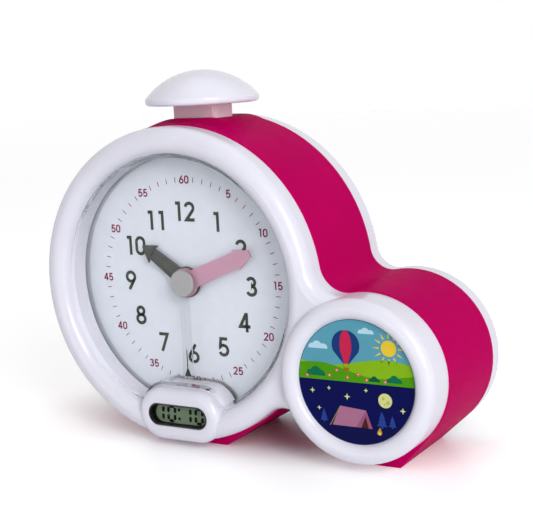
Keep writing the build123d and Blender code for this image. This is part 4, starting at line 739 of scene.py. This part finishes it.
def flame(spot: Spot) -> list[Point]:
    """A drop that stands on its round end."""
    x, z, size = spot
    bulb = size * FLAME_BULB
    tip = (x + size * FLAME_TIP[0], z + size * FLAME_TIP[1])
    return [*arc((x, z + bulb), (bulb, bulb), 180, 360, 16), tip]


CLOSED_GAP = 1e-9           # a line whose ends are nearer than this is closed
MITRE_LIMIT = 0.35          # least share that a corner's mitre is divided by, which keeps it short


def ribbon(line: Sequence[Point], width: float) -> list[tuple[Point, Point]]:
    """Left and right edges of a stroke along a line, mitred at its corners.

    Args:
        line: the stroke's middle line.
        width: its whole width.

    Returns:
        A pair of edge points for each point of the line.
    """
    closed = math.dist(line[0], line[-1]) < CLOSED_GAP
    pairs = []
    for k, (x, z) in enumerate(line):
        before = line[k - 1] if k else (line[-2] if closed else None)
        after = line[k + 1] if k + 1 < len(line) else (line[1] if closed else None)
        ways = []
        if before is not None:
            ways.append(Vector((x - before[0], z - before[1])).normalized())
        if after is not None:
            ways.append(Vector((after[0] - x, after[1] - z)).normalized())
        mean = sum(ways, Vector((0, 0))).normalized()
        side = Vector((-mean.y, mean.x))
        reach = width / 2 / max(side.dot(Vector((-ways[0].y, ways[0].x))), MITRE_LIMIT)
        pairs.append(((x + side.x * reach, z + side.y * reach), (x - side.x * reach, z - side.y * reach)))
    return pairs


class Print:
    """A layer of ink or foil: flat closed shapes of one thickness in the XZ plane."""

    def __init__(self, back: float, thickness: float) -> None:
        """Takes the Y of the surface it lies on and its thickness towards the front."""
        self._mesh = bmesh.new()
        self._back = back
        self._front = back - thickness

    def area(self, outline: Sequence[Point]) -> None:
        """Adds a filled outline, given counter-clockwise as seen from the front."""
        front = [self._mesh.verts.new((x, self._front, z)) for x, z in outline]
        back = [self._mesh.verts.new((x, self._back, z)) for x, z in outline]
        self._mesh.faces.new(front)
        self._mesh.faces.new(back[::-1])
        for k in range(len(front)):
            n = (k + 1) % len(front)
            self._mesh.faces.new((front[n], front[k], back[k], back[n]))

    def stroke(self, line: Sequence[Point], width: float) -> None:
        """Adds a stroke of one width along a line."""
        pairs = ribbon(line, width)
        for (a, b), (c, d) in zip(pairs, pairs[1:]):
            self.area((a, b, d, c))

    def piece(self, name: str, body: str, material: bpy.types.Material, slot: str) -> bpy.types.Object:
        """Makes the layer one piece of the clock.

        Args:
            name: the piece's name.
            body: the body that it rides on.
            material: its finish.
            slot: not used.

        Returns:
            The new object.
        """
        data = bpy.data.meshes.new(name)
        bmesh.ops.recalc_face_normals(self._mesh, faces=self._mesh.faces)
        self._mesh.to_mesh(data)
        self._mesh.free()
        data.materials.append(material)
        return place(bpy.data.objects.new(name, data), body, slot)


def place(piece: bpy.types.Object, body: str, slot: str) -> bpy.types.Object:
    """Links a new piece and makes it ride on a body."""
    bpy.context.scene.collection.objects.link(piece)
    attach(piece, body)
    LOG.info("piece %s rides on %s", piece.name, body)
    return piece


# ---------------------------------------------------------------- numerals
MIDLINE = 0.425             # from a numeral's middle to the middle line of its top stroke


def nine(turn: int) -> list[list[Point]]:
    """A nine, or with turn -1 a six, which is the same shape turned half way round."""
    bowl = arc((0, MIDLINE - 0.245), (0.255, 0.245), 0, 360, 36)
    tail = [(0.222, 0.06), (-0.13, -0.5)]
    return [[(turn * x, turn * z) for x, z in line] for line in (bowl, tail)]


def numeral(digit: str) -> list[list[Point]]:
    """Strokes of one numeral of height 1 about its middle.

    Args:
        digit: the character.

    Returns:
        The middle line of each stroke.
    """
    top = MIDLINE
    shapes = {
        "0": [
            arc((0, top - 0.245), (0.245, 0.245), 0, 180)
            + arc((0, 0.245 - top), (0.245, 0.245), 180, 360)
            + [(0.245, top - 0.245)]
        ],
        "1": [[(-0.17, top), (0.055, top), (0.055, -0.5)]],
        "2": [arc((0, top - 0.235), (0.24, 0.235), 168, -38) + [(-0.2, -top), (0.3, -top)]],
        "3": [
            arc((-0.01, top - 0.2), (0.215, 0.2), 160, -90)
            + arc((-0.01, 0.225 - top), (0.25, 0.225), 90, -160)
        ],
        "4": [[(0.11, -0.5), (0.11, 0.5)], [(0.09, 0.46), (-0.28, -0.21), (0.32, -0.21)]],
        "5": [
            [(0.24, top), (-0.15, top), (-0.2, 0.04)]
            + arc((-0.01, 0.255 - top), (0.255, 0.255), 138, -155)
        ],
        "6": nine(-1),
        "7": [[(-0.27, top), (0.25, top), (-0.12, -0.5)]],
        "8": [
            arc((0, top - 0.2), (0.205, 0.2), 0, 360, 32),
            arc((0, 0.225 - top), (0.25, 0.225), 0, 360, 32),
        ],
        "9": nine(1),
    }
    return shapes[digit]


def numeral_span(digit: str) -> tuple[float, float, float, float]:
    """Left edge, right edge, and the free room left and right of a numeral, in its heights."""
    return (-0.17, 0.13, 0.21, 0.17) if digit == "1" else (-0.33, 0.33, 0.05, 0.05)


def write_number(ink: Print, text: str, middle: Point, height: float, stroke: float) -> None:
    """Draws a number with its visible extent centred on a point.

    Args:
        ink: the layer that takes it.
        text: the digits.
        middle: where its centre goes.
        height: height of the numerals.
        stroke: width of their strokes.
    """
    starts, reach = [], 0.0
    for k, digit in enumerate(text):
        left, right, before, after = numeral_span(digit)
        reach += before if k else 0
        starts.append(reach - left)
        reach += right - left
        reach += after if k + 1 < len(text) else 0
    for digit, start in zip(text, starts):
        for line in numeral(digit):
            moved = [
                (middle[0] + (start - reach / 2 + x) * height, middle[1] + z * height) for x, z in line
            ]
            ink.stroke(moved, stroke)


# ---------------------------------------------------------------- the clock's sub-assemblies
class SubAssembly:
    """One sub-assembly of the clock: it dresses its own parts and adds what is printed on them."""

    def __init__(self, shelf: FinishShelf, nodes: dict[str, bpy.types.Object]) -> None:
        """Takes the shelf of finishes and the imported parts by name."""
        self.shelf = shelf
        self.nodes = nodes

    def dress(self, finish: Finish, *names: str) -> None:
        """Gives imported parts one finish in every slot."""
        material = self.shelf.take(finish)
        for name in names:
            slots = self.nodes[name].material_slots
            for slot in slots:
                slot.material = material
            LOG.info("part %s is %s", name, material.name)

    def build(self) -> None:
        """Builds and dresses everything."""
        raise NotImplementedError


class Housing(SubAssembly):
    """Front bezel, coloured band, lens and rear cover."""

    def build(self) -> None:
        """Dresses the shells of the case."""
        self.dress(WHITE_GLOSS, "front_bezel", "rear_cover", "battery_door")
        self.dress(MAGENTA_SATIN, "mid_housing")
        self.dress(CLEAR_ACRYLIC, "clock_lens")


@dataclass(frozen=True)
class ButtonSizes:
    """How far the button goes down."""

    travel: float = 3.0 * MM


class SnoozeButton(SubAssembly):
    """Domed button on top, with its stem, spring and switch."""

    sizes = ButtonSizes()

    def build(self) -> None:
        """Dresses the button's parts."""
        self.dress(WHITE_GLOSS, "button_cap")
        # the stem's colour holds a painted reflection of the band and painted shade
        self.dress(WHITE_GLOSS_PAINTED_BAND_REFLECTION, "button_stem")
        self.dress(SPRING_STEEL, "button_spring")
        self.dress(WHITE_PLAIN, "button_bracket")
        self.dress(MOULDED_EPOXY, "button_switch")
        self.fit_spring()

    def fit_spring(self) -> None:
        """Stands a copy of the return spring on its bracket, with a mesh of its own, in place of the
        imported one.
        """
        spring = bpy.data.objects.new("return_spring", self.nodes["button_spring"].data.copy())
        place(spring, "clock", "spring_steel")
        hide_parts("button_spring")
        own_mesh(spring)


@dataclass(frozen=True)
class DialSizes:
    """Sizes of what is printed on the dial."""

    hour_ring: float = 33.4 * MM
    hour_drop: float = 1.05 * MM
    hour_left: float = 0.35 * MM
    hour_height: float = 9.0 * MM
    hour_stroke: float = 1.55 * MM
    minute_ring: float = 47.0 * MM
    minute_height: float = 3.7 * MM
    minute_stroke: float = 0.68 * MM
    tick_length: float = 2.4 * MM
    tick_width: float = 0.35 * MM
    arrow_margin: float = 0.6 * MM
    arrow_half: float = 1.9 * MM
    arrow_height: float = 4.6 * MM
    line_length: float = 8.0 * MM
    line_width: float = 0.5 * MM
    ink: float = 0.03 * MM


class Dial(SubAssembly):
    """Printed dial with its hands, nut and carrier."""

    sizes = DialSizes()

    def build(self) -> None:
        """Dresses the dial and its hands and prints the two rings of numbers and the arrow."""
        self.dress(DIAL_CARD, "dial_plate")
        self.dress(WHITE_PLAIN, "dial_carrier")
        self.dress(HAND_GREY, "hour_hand")
        self.dress(PINK_ACRYLIC, "minute_hand")
        self.dress(CLEAR_ACRYLIC, "second_hand")
        self.dress(GREY_GLOSS, "centre_cap")
        self.dress(BRASS, "dial_nut")
        self.print_hours()
        self.print_minutes()
        self.print_arrow()

    def around(self, share: float, ring: float) -> Point:
        """Point on a ring of the dial, at a share of a full turn clockwise from twelve."""
        x, z = middle_of("centre_cap")
        turn = share * math.tau
        return (x + ring * math.sin(turn), z + ring * math.cos(turn))

    def print_hours(self) -> None:
        """The large numbers, 1 to 12."""
        ink = Print(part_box("dial_plate")[0].y, self.sizes.ink)
        for hour in range(1, 13):
            x, z = self.around(hour / 12, self.sizes.hour_ring)
            middle = (x - self.sizes.hour_left, z - self.sizes.hour_drop)
            write_number(ink, str(hour), middle, self.sizes.hour_height, self.sizes.hour_stroke)
        ink.piece("dial_hour_numbers", "clock", self.shelf.take(HOUR_INK), "dial_print")

    def print_minutes(self) -> None:
        """The small numbers, 5 to 60, with a tick for each minute between them."""
        ink = Print(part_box("dial_plate")[0].y, self.sizes.ink)
        half = self.sizes.tick_length / 2
        for minute in range(1, 61):
            share = minute / 60
            if minute % 5:
                ends = [self.around(share, self.sizes.minute_ring + way * half) for way in (-1, 1)]
                ink.stroke(ends, self.sizes.tick_width)
            else:
                middle = self.around(share, self.sizes.minute_ring)
                write_number(ink, str(minute), middle, self.sizes.minute_height, self.sizes.minute_stroke)
        ink.piece("dial_minute_numbers", "clock", self.shelf.take(MINUTE_INK), "dial_print")

    def print_arrow(self) -> None:
        """The dark arrow at the outer end of the clear second hand, which points down at rest."""
        low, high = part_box("second_hand")
        middle, end = (low.x + high.x) / 2, low.z + self.sizes.arrow_margin
        half, root = self.sizes.arrow_half, end + self.sizes.arrow_height
        line = [(middle, root - self.sizes.arrow_height / 4), (middle, root + self.sizes.line_length)]
        ink = Print(low.y, self.sizes.ink)
        ink.area([(middle - half, end), (middle + half, end), (middle, root)])
        ink.stroke(line, self.sizes.line_width)
        ink.piece("second_hand_arrow", "second", self.shelf.take(ARROW_INK), "dial_print")


@dataclass(frozen=True)
class DisplaySizes:
    """Sizes of the display's digits and mask."""

    height: float = 8.4 * MM
    width: float = 3.6 * MM
    bar: float = 1.5 * MM
    gap: float = 0.35 * MM
    bevel: float = 0.3
    lean: float = 0.04
    cells: tuple[float, ...] = (-11.55 * MM, -5.1 * MM, 3.45 * MM, 10.0 * MM)
    colon: float = -0.9 * MM
    mask_side: float = 1.9 * MM
    mask_top: float = 2.1 * MM
    ink: float = 0.03 * MM


class Display(SubAssembly):
    """Small liquid-crystal display in the pod under the dial."""

    sizes = DisplaySizes()
    reading = "1010"
    lit = {"0": "abcdef", "1": "bc"}

    def build(self) -> None:
        """Dresses the display, draws its reading and masks its edges."""
        self.dress(BLACK_MATT, "lcd_shroud")
        self.dress(COATED_ACRYLIC, "lcd_window")
        self.dress(LCD_GLASS, "lcd_glass")
        self.dress(WHITE_DIFFUSER, "lcd_backlight")
        self.dress(RUBBER, "lcd_strips")
        self.dress(BOARD, "lcd_board")
        self.draw_reading()
        self.mask_edges()

    def segment(self, name: str) -> list[Point]:
        """Outline of one bar of a seven-bar digit about the digit's middle, its ends bevelled."""
        half_w, half_h = self.sizes.width / 2, (self.sizes.height - self.sizes.bar) / 2
        corners = {"tl": (-half_w, half_h), "tr": (half_w, half_h), "ml": (-half_w, 0), "mr": (half_w, 0)}
        corners.update({"bl": (-half_w, -half_h), "br": (half_w, -half_h)})
        ends = {"a": "tl tr", "b": "tr mr", "c": "mr br", "d": "bl br", "e": "ml bl", "f": "tl ml"}
        first, last = (Vector(corners[corner]) for corner in ends[name].split())
        way = (last - first).normalized()
        side = Vector((-way.y, way.x)) * self.sizes.bar / 2
        bevel = self.sizes.gap + self.sizes.bevel * self.sizes.bar
        inner_first, inner_last = first + way * bevel, last - way * bevel
        tip_first, tip_last = first + way * self.sizes.gap, last - way * self.sizes.gap
        outline = (tip_first, inner_first - side, inner_last - side)
        outline += (tip_last, inner_last + side, inner_first + side)
        return [(point.x + point.y * self.sizes.lean, point.y) for point in outline]

    def draw_reading(self) -> None:
        """Draws four digits with a colon between the pairs."""
        middle_x, middle_z = middle_of("lcd_glass")
        ink = Print(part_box("lcd_glass")[0].y, self.sizes.ink)
        for digit, offset in zip(self.reading, self.sizes.cells):
            for name in self.lit[digit]:
                ink.area([(middle_x + offset + x, middle_z + z) for x, z in self.segment(name)])
        for rise in (-1, 1):
            dot = (middle_x + self.sizes.colon, middle_z + rise * self.sizes.height / 4)
            ink.area(arc(dot, (self.sizes.bar / 2, self.sizes.bar / 2), 0, 345, 23))
        ink.piece("lcd_digits", "clock", self.shelf.take(DARK_CRYSTAL), "lcd_glass")

    def mask_edges(self) -> None:
        """Black mask round the display's clear field, with round inner ends."""
        low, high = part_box("lcd_glass")
        middle_x, middle_z = middle_of("lcd_glass")
        half_w = (high.x - low.x) / 2 - self.sizes.mask_side
        half_h = (high.z - low.z) / 2 - self.sizes.mask_top
        mask = Print(low.y, self.sizes.ink)
        for way in (-1, 1):
            centre = (middle_x + way * (half_w - half_h), middle_z)
            end = arc(centre, (half_h, half_h), 90, 90 - 180 * way, 24)
            edge_x = low.x if way < 0 else high.x
            for (x0, z0), (x1, z1) in zip(end, end[1:]):
                mask.area([(x0, z0), (edge_x, z0), (edge_x, z1), (x1, z1)])
            top = low.z if way < 0 else high.z
            inner = middle_z + way * half_h
            mask.area([(low.x, inner), (high.x, inner), (high.x, top), (low.x, top)])
        mask.piece("lcd_mask", "clock", self.shelf.take(MASK_INK), "lcd_glass")


@dataclass(frozen=True)
class Hills:
    """Hills across the picture, in its millimetres.

    The level is their height at the middle without the swell, the slope their rise to the right per
    millimetre, the swell half the height of their waves, the span the length of one wave, and the
    shift where a wave's top stands.
    """

    level: float
    slope: float
    swell: float
    span: float
    shift: float


@dataclass(frozen=True)
class BalloonSizes:
    """The picture's balloon: its envelope in shares of its radius, its basket in millimetres."""

    spot: Spot = (-4.0, 15.6, 6.4)
    mouth_half: float = 0.2
    mouth_drop: float = 1.25
    gore_half: float = 0.42
    gore_mouth_half: float = 0.12
    rope_drop: float = 1.2
    basket_drop: float = 1.75
    basket_half: float = 1.0
    rim_half: float = 1.3
    basket_height: float = 1.7
    rope_foot: Point = (1.15, 1.6)
    rope_width: float = 0.2


@dataclass(frozen=True)
class PictureSizes:
    """Sizes and places in the night light's picture, in millimetres about its middle.

    A spot is a place across and up, and a radius or scale.
    """

    radius: float = 26.5
    ink: float = 0.02
    far_hills: Hills = Hills(8.5, -0.02, 2.2, 60.0, 15.0)
    near_hills: Hills = Hills(4.8, -0.06, 1.8, 48.0, -16.0)
    night_hills: Hills = Hills(-17.2, 0.02, 0.9, 44.0, 6.0)
    sun: Spot = (15.5, 15.5, 3.4)
    rays: int = 12
    ray_span: Point = (4.4, 7.4)
    ray_half: float = 0.42
    clouds: tuple[Spot, ...] = ((-17.0, 13.4, 1.0), (5.5, 21.0, 0.8))
    bushes: tuple[Spot, ...] = ((-18.5, 1.6, 1.0), (17.6, 1.2, 0.8))
    far_bush: Spot = (8.6, 1.0, 0.6)
    flowers: tuple[Point, ...] = (
        (-12.0, 2.2), (-8.5, 4.6), (-3.6, 1.9), (1.4, 3.6), (5.2, 1.5), (13.6, 1.3), (-22.6, 1.4),
    )
    petals: float = 0.75
    heart: float = 0.3
    balloon: BalloonSizes = BalloonSizes()
    moon: Spot = (13.2, -6.6, 3.1)
    moon_spots: tuple[Spot, ...] = ((12.3, -5.8, 0.7), (14.4, -7.4, 0.9), (13.0, -8.3, 0.45))
    stars: tuple[Spot, ...] = (
        (-20.5, -5.0, 1.3), (-12.6, -3.4, 1.0), (-4.2, -6.4, 1.5),
        (4.6, -3.0, 1.0), (21.0, -10.2, 1.4), (-17.6, -12.4, 1.1),
    )
    firs: tuple[Spot, ...] = ((11.5, -18.6, 1.0), (16.2, -18.2, 0.75), (-15.4, -18.4, 0.8))
    tent: tuple[Point, ...] = ((-11.5, -19.2), (7.0, -19.2), (4.4, -11.6), (-7.6, -10.6))
    tent_front: tuple[Point, ...] = ((-0.6, -19.2), (7.0, -19.2), (4.4, -11.6))
    tent_door: tuple[Point, ...] = ((1.9, -19.2), (5.3, -19.2), (4.1, -14.2))
    tent_guy: tuple[Point, ...] = ((-12.9, -19.5), (-12.5, -19.5), (-7.3, -10.6), (-7.6, -10.5))
    campfire: Spot = (10.2, -21.6, 2.6)
    campfire_heart: Spot = (10.2, -21.5, 1.3)


class NightLight(SubAssembly):
    """Round picture with its light box and lamps."""

    sizes = PictureSizes()

    def build(self) -> None:
        """Dresses the night light and prints its picture, day above and night below."""
        self.dress(PICTURE_FILM, "picture_disc")
        self.dress(WHITE_PLAIN, "light_box")
        self.dress(BOARD, "light_board")
        self.dress(WARM_LED, "day_leds")
        self.dress(AMBER_LED, "night_leds")
        radii = (self.sizes.radius, self.sizes.radius)
        self.layer(0, "day_sky", "5a9fb4", [arc((0, 0), radii, 0, 180, 60)])
        self.layer(0, "night_sky", "0a0f50", [arc((0, 0), radii, 180, 360, 60)])
        self.print_day()
        self.print_night()

    def layer(self, level: int, name: str, colour: str, outlines: Iterable[Sequence[Point]]) -> None:
        """Prints one ink of the picture.

        Args:
            level: how many inks lie under it.
            name: what it shows.
            colour: its hex colour.
            outlines: its shapes, in millimetres about the picture's middle.
        """
        middle_x, middle_z = middle_of("picture_disc")
        thickness = self.sizes.ink * MM
        ink = Print(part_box("picture_disc")[0].y - level * thickness, thickness)
        for outline in outlines:
            ink.area([(middle_x + x * MM, middle_z + z * MM) for x, z in outline])
        finish = PrintedCard(f"ink_{name}", colour, 0.4, specular=0.04)
        ink.piece(f"picture_{name}", "clock", self.shelf.take(finish), "picture_film")

    def ridge(self, hills: Hills, steps: int = 80) -> list[Point]:
        """Skyline of hills across the whole picture, from right to left.

        Args:
            hills: the hills.
            steps: how many chords.

        Returns:
            Its points, the first and last on the picture's round edge.
        """
        radius = self.sizes.radius
        line = []
        for k in range(steps + 1):
            x = radius * (1 - 2 * k / steps)
            wave = math.cos(math.tau * (x - hills.shift) / hills.span)
            z = hills.level + hills.slope * x + hills.swell * wave
            if math.hypot(x, z) < radius:
                line.append((x, z))
        ends = []
        for x, z in (line[0], line[-1]):
            reach = math.hypot(x, z)
            ends.append((x * radius / reach, z * radius / reach))
        return [ends[0], *line, ends[1]]

    def edge(self, start: float, end: float) -> list[Point]:
        """Part of the picture's round edge between two directions, its ends left out."""
        return arc((0, 0), (self.sizes.radius, self.sizes.radius), start, end, 24)[1:-1]

    def meadow(self, hills: Hills) -> list[Point]:
        """Land between a skyline and the line that parts day from night."""
        radius, skyline = self.sizes.radius, self.ridge(hills)
        right, left = (math.degrees(math.atan2(z, x)) for x, z in (skyline[0], skyline[-1]))
        return [(radius, 0), *self.edge(0, right), *skyline, *self.edge(left, 180), (-radius, 0)]

    def ground(self, hills: Hills) -> list[Point]:
        """Land between a skyline and the picture's lower edge."""
        skyline = self.ridge(hills)
        right, left = (math.degrees(math.atan2(z, x)) for x, z in (skyline[0], skyline[-1]))
        return [*skyline, *self.edge(left % 360, right % 360)]

    def print_day(self) -> None:
        """Meadow with bushes and flowers, clouds, a low sun and a hot-air balloon."""
        sizes = self.sizes
        self.layer(1, "far_meadow", "86b81a", [self.meadow(sizes.far_hills)])
        self.layer(2, "near_meadow", "4f9a10", [self.meadow(sizes.near_hills)])
        sun = sizes.sun[:2]
        turns = (360 * k / sizes.rays for k in range(sizes.rays))
        rays = [sun_ray(sun, sizes.ray_span, sizes.ray_half, turn) for turn in turns]
        self.layer(1, "sun", "e9c93a", [disc(sun, sizes.sun[2]), *rays])
        self.layer(1, "clouds", "b7dcea", [tufts(spot, CLOUD_HEADS) for spot in sizes.clouds])
        self.layer(3, "bushes", "10704c", [tufts(spot, BUSH_HEADS) for spot in sizes.bushes])
        self.layer(3, "far_bush", "0c5a40", [tufts(sizes.far_bush, BUSH_HEADS)])
        self.layer(4, "flowers", "d8456f", [disc(flower, sizes.petals) for flower in sizes.flowers])
        self.layer(5, "flower_hearts", "f1e9b8", [disc(flower, sizes.heart) for flower in sizes.flowers])
        self.print_balloon(sizes.balloon)

    def print_balloon(self, sizes: BalloonSizes) -> None:
        """Hot-air balloon of three gores, with its basket on two ropes."""
        x, z, size = sizes.spot
        mouth, low = z - size * sizes.mouth_drop, z - size * sizes.basket_drop
        half, gore_half = size * sizes.mouth_half, size * sizes.gore_mouth_half
        crown = arc((x, z), (size, size), -25, 205, 30)
        self.layer(3, "balloon", "1d3a78", [[*crown, (x - half, mouth), (x + half, mouth)]])
        gore = arc((x, z), (size * sizes.gore_half, size), -30, 210, 24)
        gore += [(x - gore_half, mouth), (x + gore_half, mouth)]
        self.layer(4, "balloon_gore", "c8284f", [gore])
        floor, rim, brim = sizes.basket_half, sizes.rim_half, low + sizes.basket_height
        basket = [(x - floor, low), (x + floor, low), (x + rim, brim), (x - rim, brim)]
        inner, outer = sizes.rope_foot[0], sizes.rope_foot[0] + sizes.rope_width
        foot, top = low + sizes.rope_foot[1], z - size * sizes.rope_drop
        rope = ((inner, foot), (outer, foot), (rim, top), (rim - sizes.rope_width, top))
        ropes = [[(x + way * across, rise) for across, rise in rope] for way in (-1, 1)]
        self.layer(4, "basket", "96711f", [basket, *ropes])

    def print_night(self) -> None:
        """Starry sky with a full moon over a tent among firs."""
        sizes = self.sizes
        self.layer(1, "night_ground", "0d1148", [self.ground(sizes.night_hills)])
        self.layer(1, "moon", "d8dc8f", [disc(sizes.moon[:2], sizes.moon[2])])
        self.layer(2, "moon_spots", "bcc271", [disc((x, z), radius) for x, z, radius in sizes.moon_spots])
        self.layer(1, "stars", "d3da86", [sparkle(spot) for spot in sizes.stars])
        self.layer(2, "firs", "28428f", [fir(spot) for spot in sizes.firs])
        self.layer(3, "tent", "ad7091", [sizes.tent])
        self.layer(4, "tent_front", "985879", [sizes.tent_front])
        self.layer(5, "tent_door", "4a2320", [sizes.tent_door])
        self.layer(4, "tent_guy", "8d8a2c", [sizes.tent_guy])
        self.layer(3, "campfire", "c4932a", [flame(sizes.campfire)])
        self.layer(4, "campfire_heart", "ead26a", [flame(sizes.campfire_heart)])


class Movement(SubAssembly):
    """Quartz movement behind the dial: its case, coil, rotor and wheels."""

    def build(self) -> None:
        """Dresses the movement's parts."""
        self.dress(BLACK_MATT, "movement_front", "movement_back")
        wheels = ("seconds_wheel", "third_wheel", "intermediate_wheel", "centre_wheel")
        self.dress(NATURAL_ACETAL, *wheels, "minute_wheel", "hour_wheel", "set_wheel")
        self.dress(COPPER_WIRE, "coil")
        self.dress(SOFT_IRON, "stator")
        self.dress(FERRITE, "rotor")


class RearControls(SubAssembly):
    """Keys, sliders, setting knob and the board that they work on."""

    def build(self) -> None:
        """Dresses the controls at the back."""
        self.dress(WHITE_GLOSS, "mode_key", "set_key", "down_key", "up_key", "set_knob")
        self.dress(BLACK_MATT, "alarm_slider", "light_slider", "power_jack")
        self.dress(MOULDED_EPOXY, "key_switches", "main_chips")
        self.dress(STEEL, "slide_switches")
        self.dress(BOARD, "main_board")


class PowerAndSound(SubAssembly):
    """Battery cells with their contacts, the loudspeaker, and the screws of the whole clock."""

    def build(self) -> None:
        """Dresses the cells, contacts, screws and loudspeaker."""
        self.dress(CELL_WRAP, "battery_cells")
        self.dress(SPRING_STEEL, "battery_springs")
        self.dress(STEEL, "battery_plates", "long_screws", "short_screws", "small_screws")
        self.dress(PAPER_CONE, "speaker")
        self.dress(FOAM, "speaker_gasket")


# ---------------------------------------------------------------- studio
@dataclass(frozen=True)
class CameraView:
    """Where the camera stands, how it looks, and between which distances it sees."""

    target: Spot = (16.55 * MM, -19.5 * MM, 84.66 * MM)
    place: Spot = (287.8 * MM, -473.7 * MM, 173.2 * MM)
    roll_deg: float = -2.99
    lens_mm: float = 82.79
    sensor_mm: float = 36.0
    near: float = 0.01
    far: float = 20.0


@dataclass(frozen=True)
class SoftBox:
    """One white rectangular lamp that shines on the clock."""

    name: str
    place: Spot
    size: Point
    watts: float


class Studio:
    """White table, white surroundings, soft lamps and the camera."""

    view = CameraView()
    boxes = (
        SoftBox("lamp_right", (0.9, -0.72, 0.55), (0.5, 0.7), 8.6),
        SoftBox("lamp_low", (-0.2, -1.0, 0.08), (0.6, 0.12), 0.6),
        SoftBox("lamp_above", (0.0, 0.15, 1.0), (0.9, 0.7), 1.3),
    )
    floor_half = 3.0
    sky_level = 0.34

    def build(self) -> None:
        """Builds the studio."""
        self.floor()
        self.sky()
        for box in self.boxes:
            self.lamp(box)
        self.camera()
        bpy.context.scene.view_settings.view_transform = "Standard"

    def floor(self) -> None:
        """White table top under the clock."""
        mesh = bmesh.new()
        half = self.floor_half
        corners = [mesh.verts.new((x * half, y * half, 0)) for x, y in ((-1, -1), (1, -1), (1, 1), (-1, 1))]
        mesh.faces.new(corners)
        data = bpy.data.meshes.new("table_top")
        mesh.to_mesh(data)
        mesh.free()
        table = bpy.data.objects.new("table_top", data)
        bpy.context.scene.collection.objects.link(table)
        data.materials.append(TABLE_WHITE.build())

    def sky(self) -> None:
        """White surroundings: full white where they are seen or mirrored, softer as light."""
        world = bpy.data.worlds.new("white_surroundings")
        bpy.context.scene.world = world
        world.use_nodes = True
        tree = world.node_tree
        tree.nodes.clear()
        seen = any_ray(tree, "Is Camera Ray", "Is Transmission Ray", "Is Glossy Ray")
        level = add_node(
            tree,
            "ShaderNodeMapRange",
            {"Value": seen, "To Min": self.sky_level, "To Max": 1.0},
        )
        light = add_node(
            tree,
            "ShaderNodeBackground",
            {"Color": linear("ffffff"), "Strength": level.outputs["Result"]},
        )
        add_node(tree, "ShaderNodeOutputWorld", {"Surface": light.outputs["Background"]})

    def lamp(self, box: SoftBox) -> None:
        """Hangs one soft box, aimed at the clock's middle."""
        data = bpy.data.lights.new(box.name, "AREA")
        data.shape = "RECTANGLE"
        data.size, data.size_y = box.size
        data.energy = box.watts
        lamp = bpy.data.objects.new(box.name, data)
        bpy.context.scene.collection.objects.link(lamp)
        lamp.location = box.place
        away = Vector(box.place) - Vector(self.view.target)
        lamp.rotation_euler = away.to_track_quat("Z", "Y").to_euler()
        LOG.info("lamp %s", box.name)

    def camera(self) -> None:
        """Sets the camera on its target, tipped by its roll."""
        data = bpy.data.cameras.new("camera")
        data.sensor_width = self.view.sensor_mm
        data.lens = self.view.lens_mm
        data.clip_start = self.view.near
        data.clip_end = self.view.far
        camera = bpy.data.objects.new("camera", data)
        bpy.context.scene.collection.objects.link(camera)
        bpy.context.scene.camera = camera
        eye = Vector(self.view.place)
        ahead = (Vector(self.view.target) - eye).normalized()
        right = ahead.cross(Vector((0, 0, 1))).normalized()
        up = right.cross(ahead)
        roll = math.radians(self.view.roll_deg)
        tipped_right = right * math.cos(roll) + up * math.sin(roll)
        tipped_up = up * math.cos(roll) - right * math.sin(roll)
        axes = Matrix((tipped_right, tipped_up, -ahead)).transposed()
        camera.matrix_world = Matrix.Translation(eye) @ axes.to_4x4()


def main() -> None:
    """Builds the clock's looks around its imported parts."""
    logging.basicConfig(level=logging.INFO, format="%(name)s: %(message)s")
    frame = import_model()
    shelf = FinishShelf()
    order = (Housing, SnoozeButton, Dial, Display, NightLight, Movement, RearControls, PowerAndSound)
    for sub_assembly in order:
        LOG.info("building %s", sub_assembly.__name__)
        sub_assembly(shelf, frame["nodes"]).build()
    Studio().build()


if __name__ == "__main__":
    main()
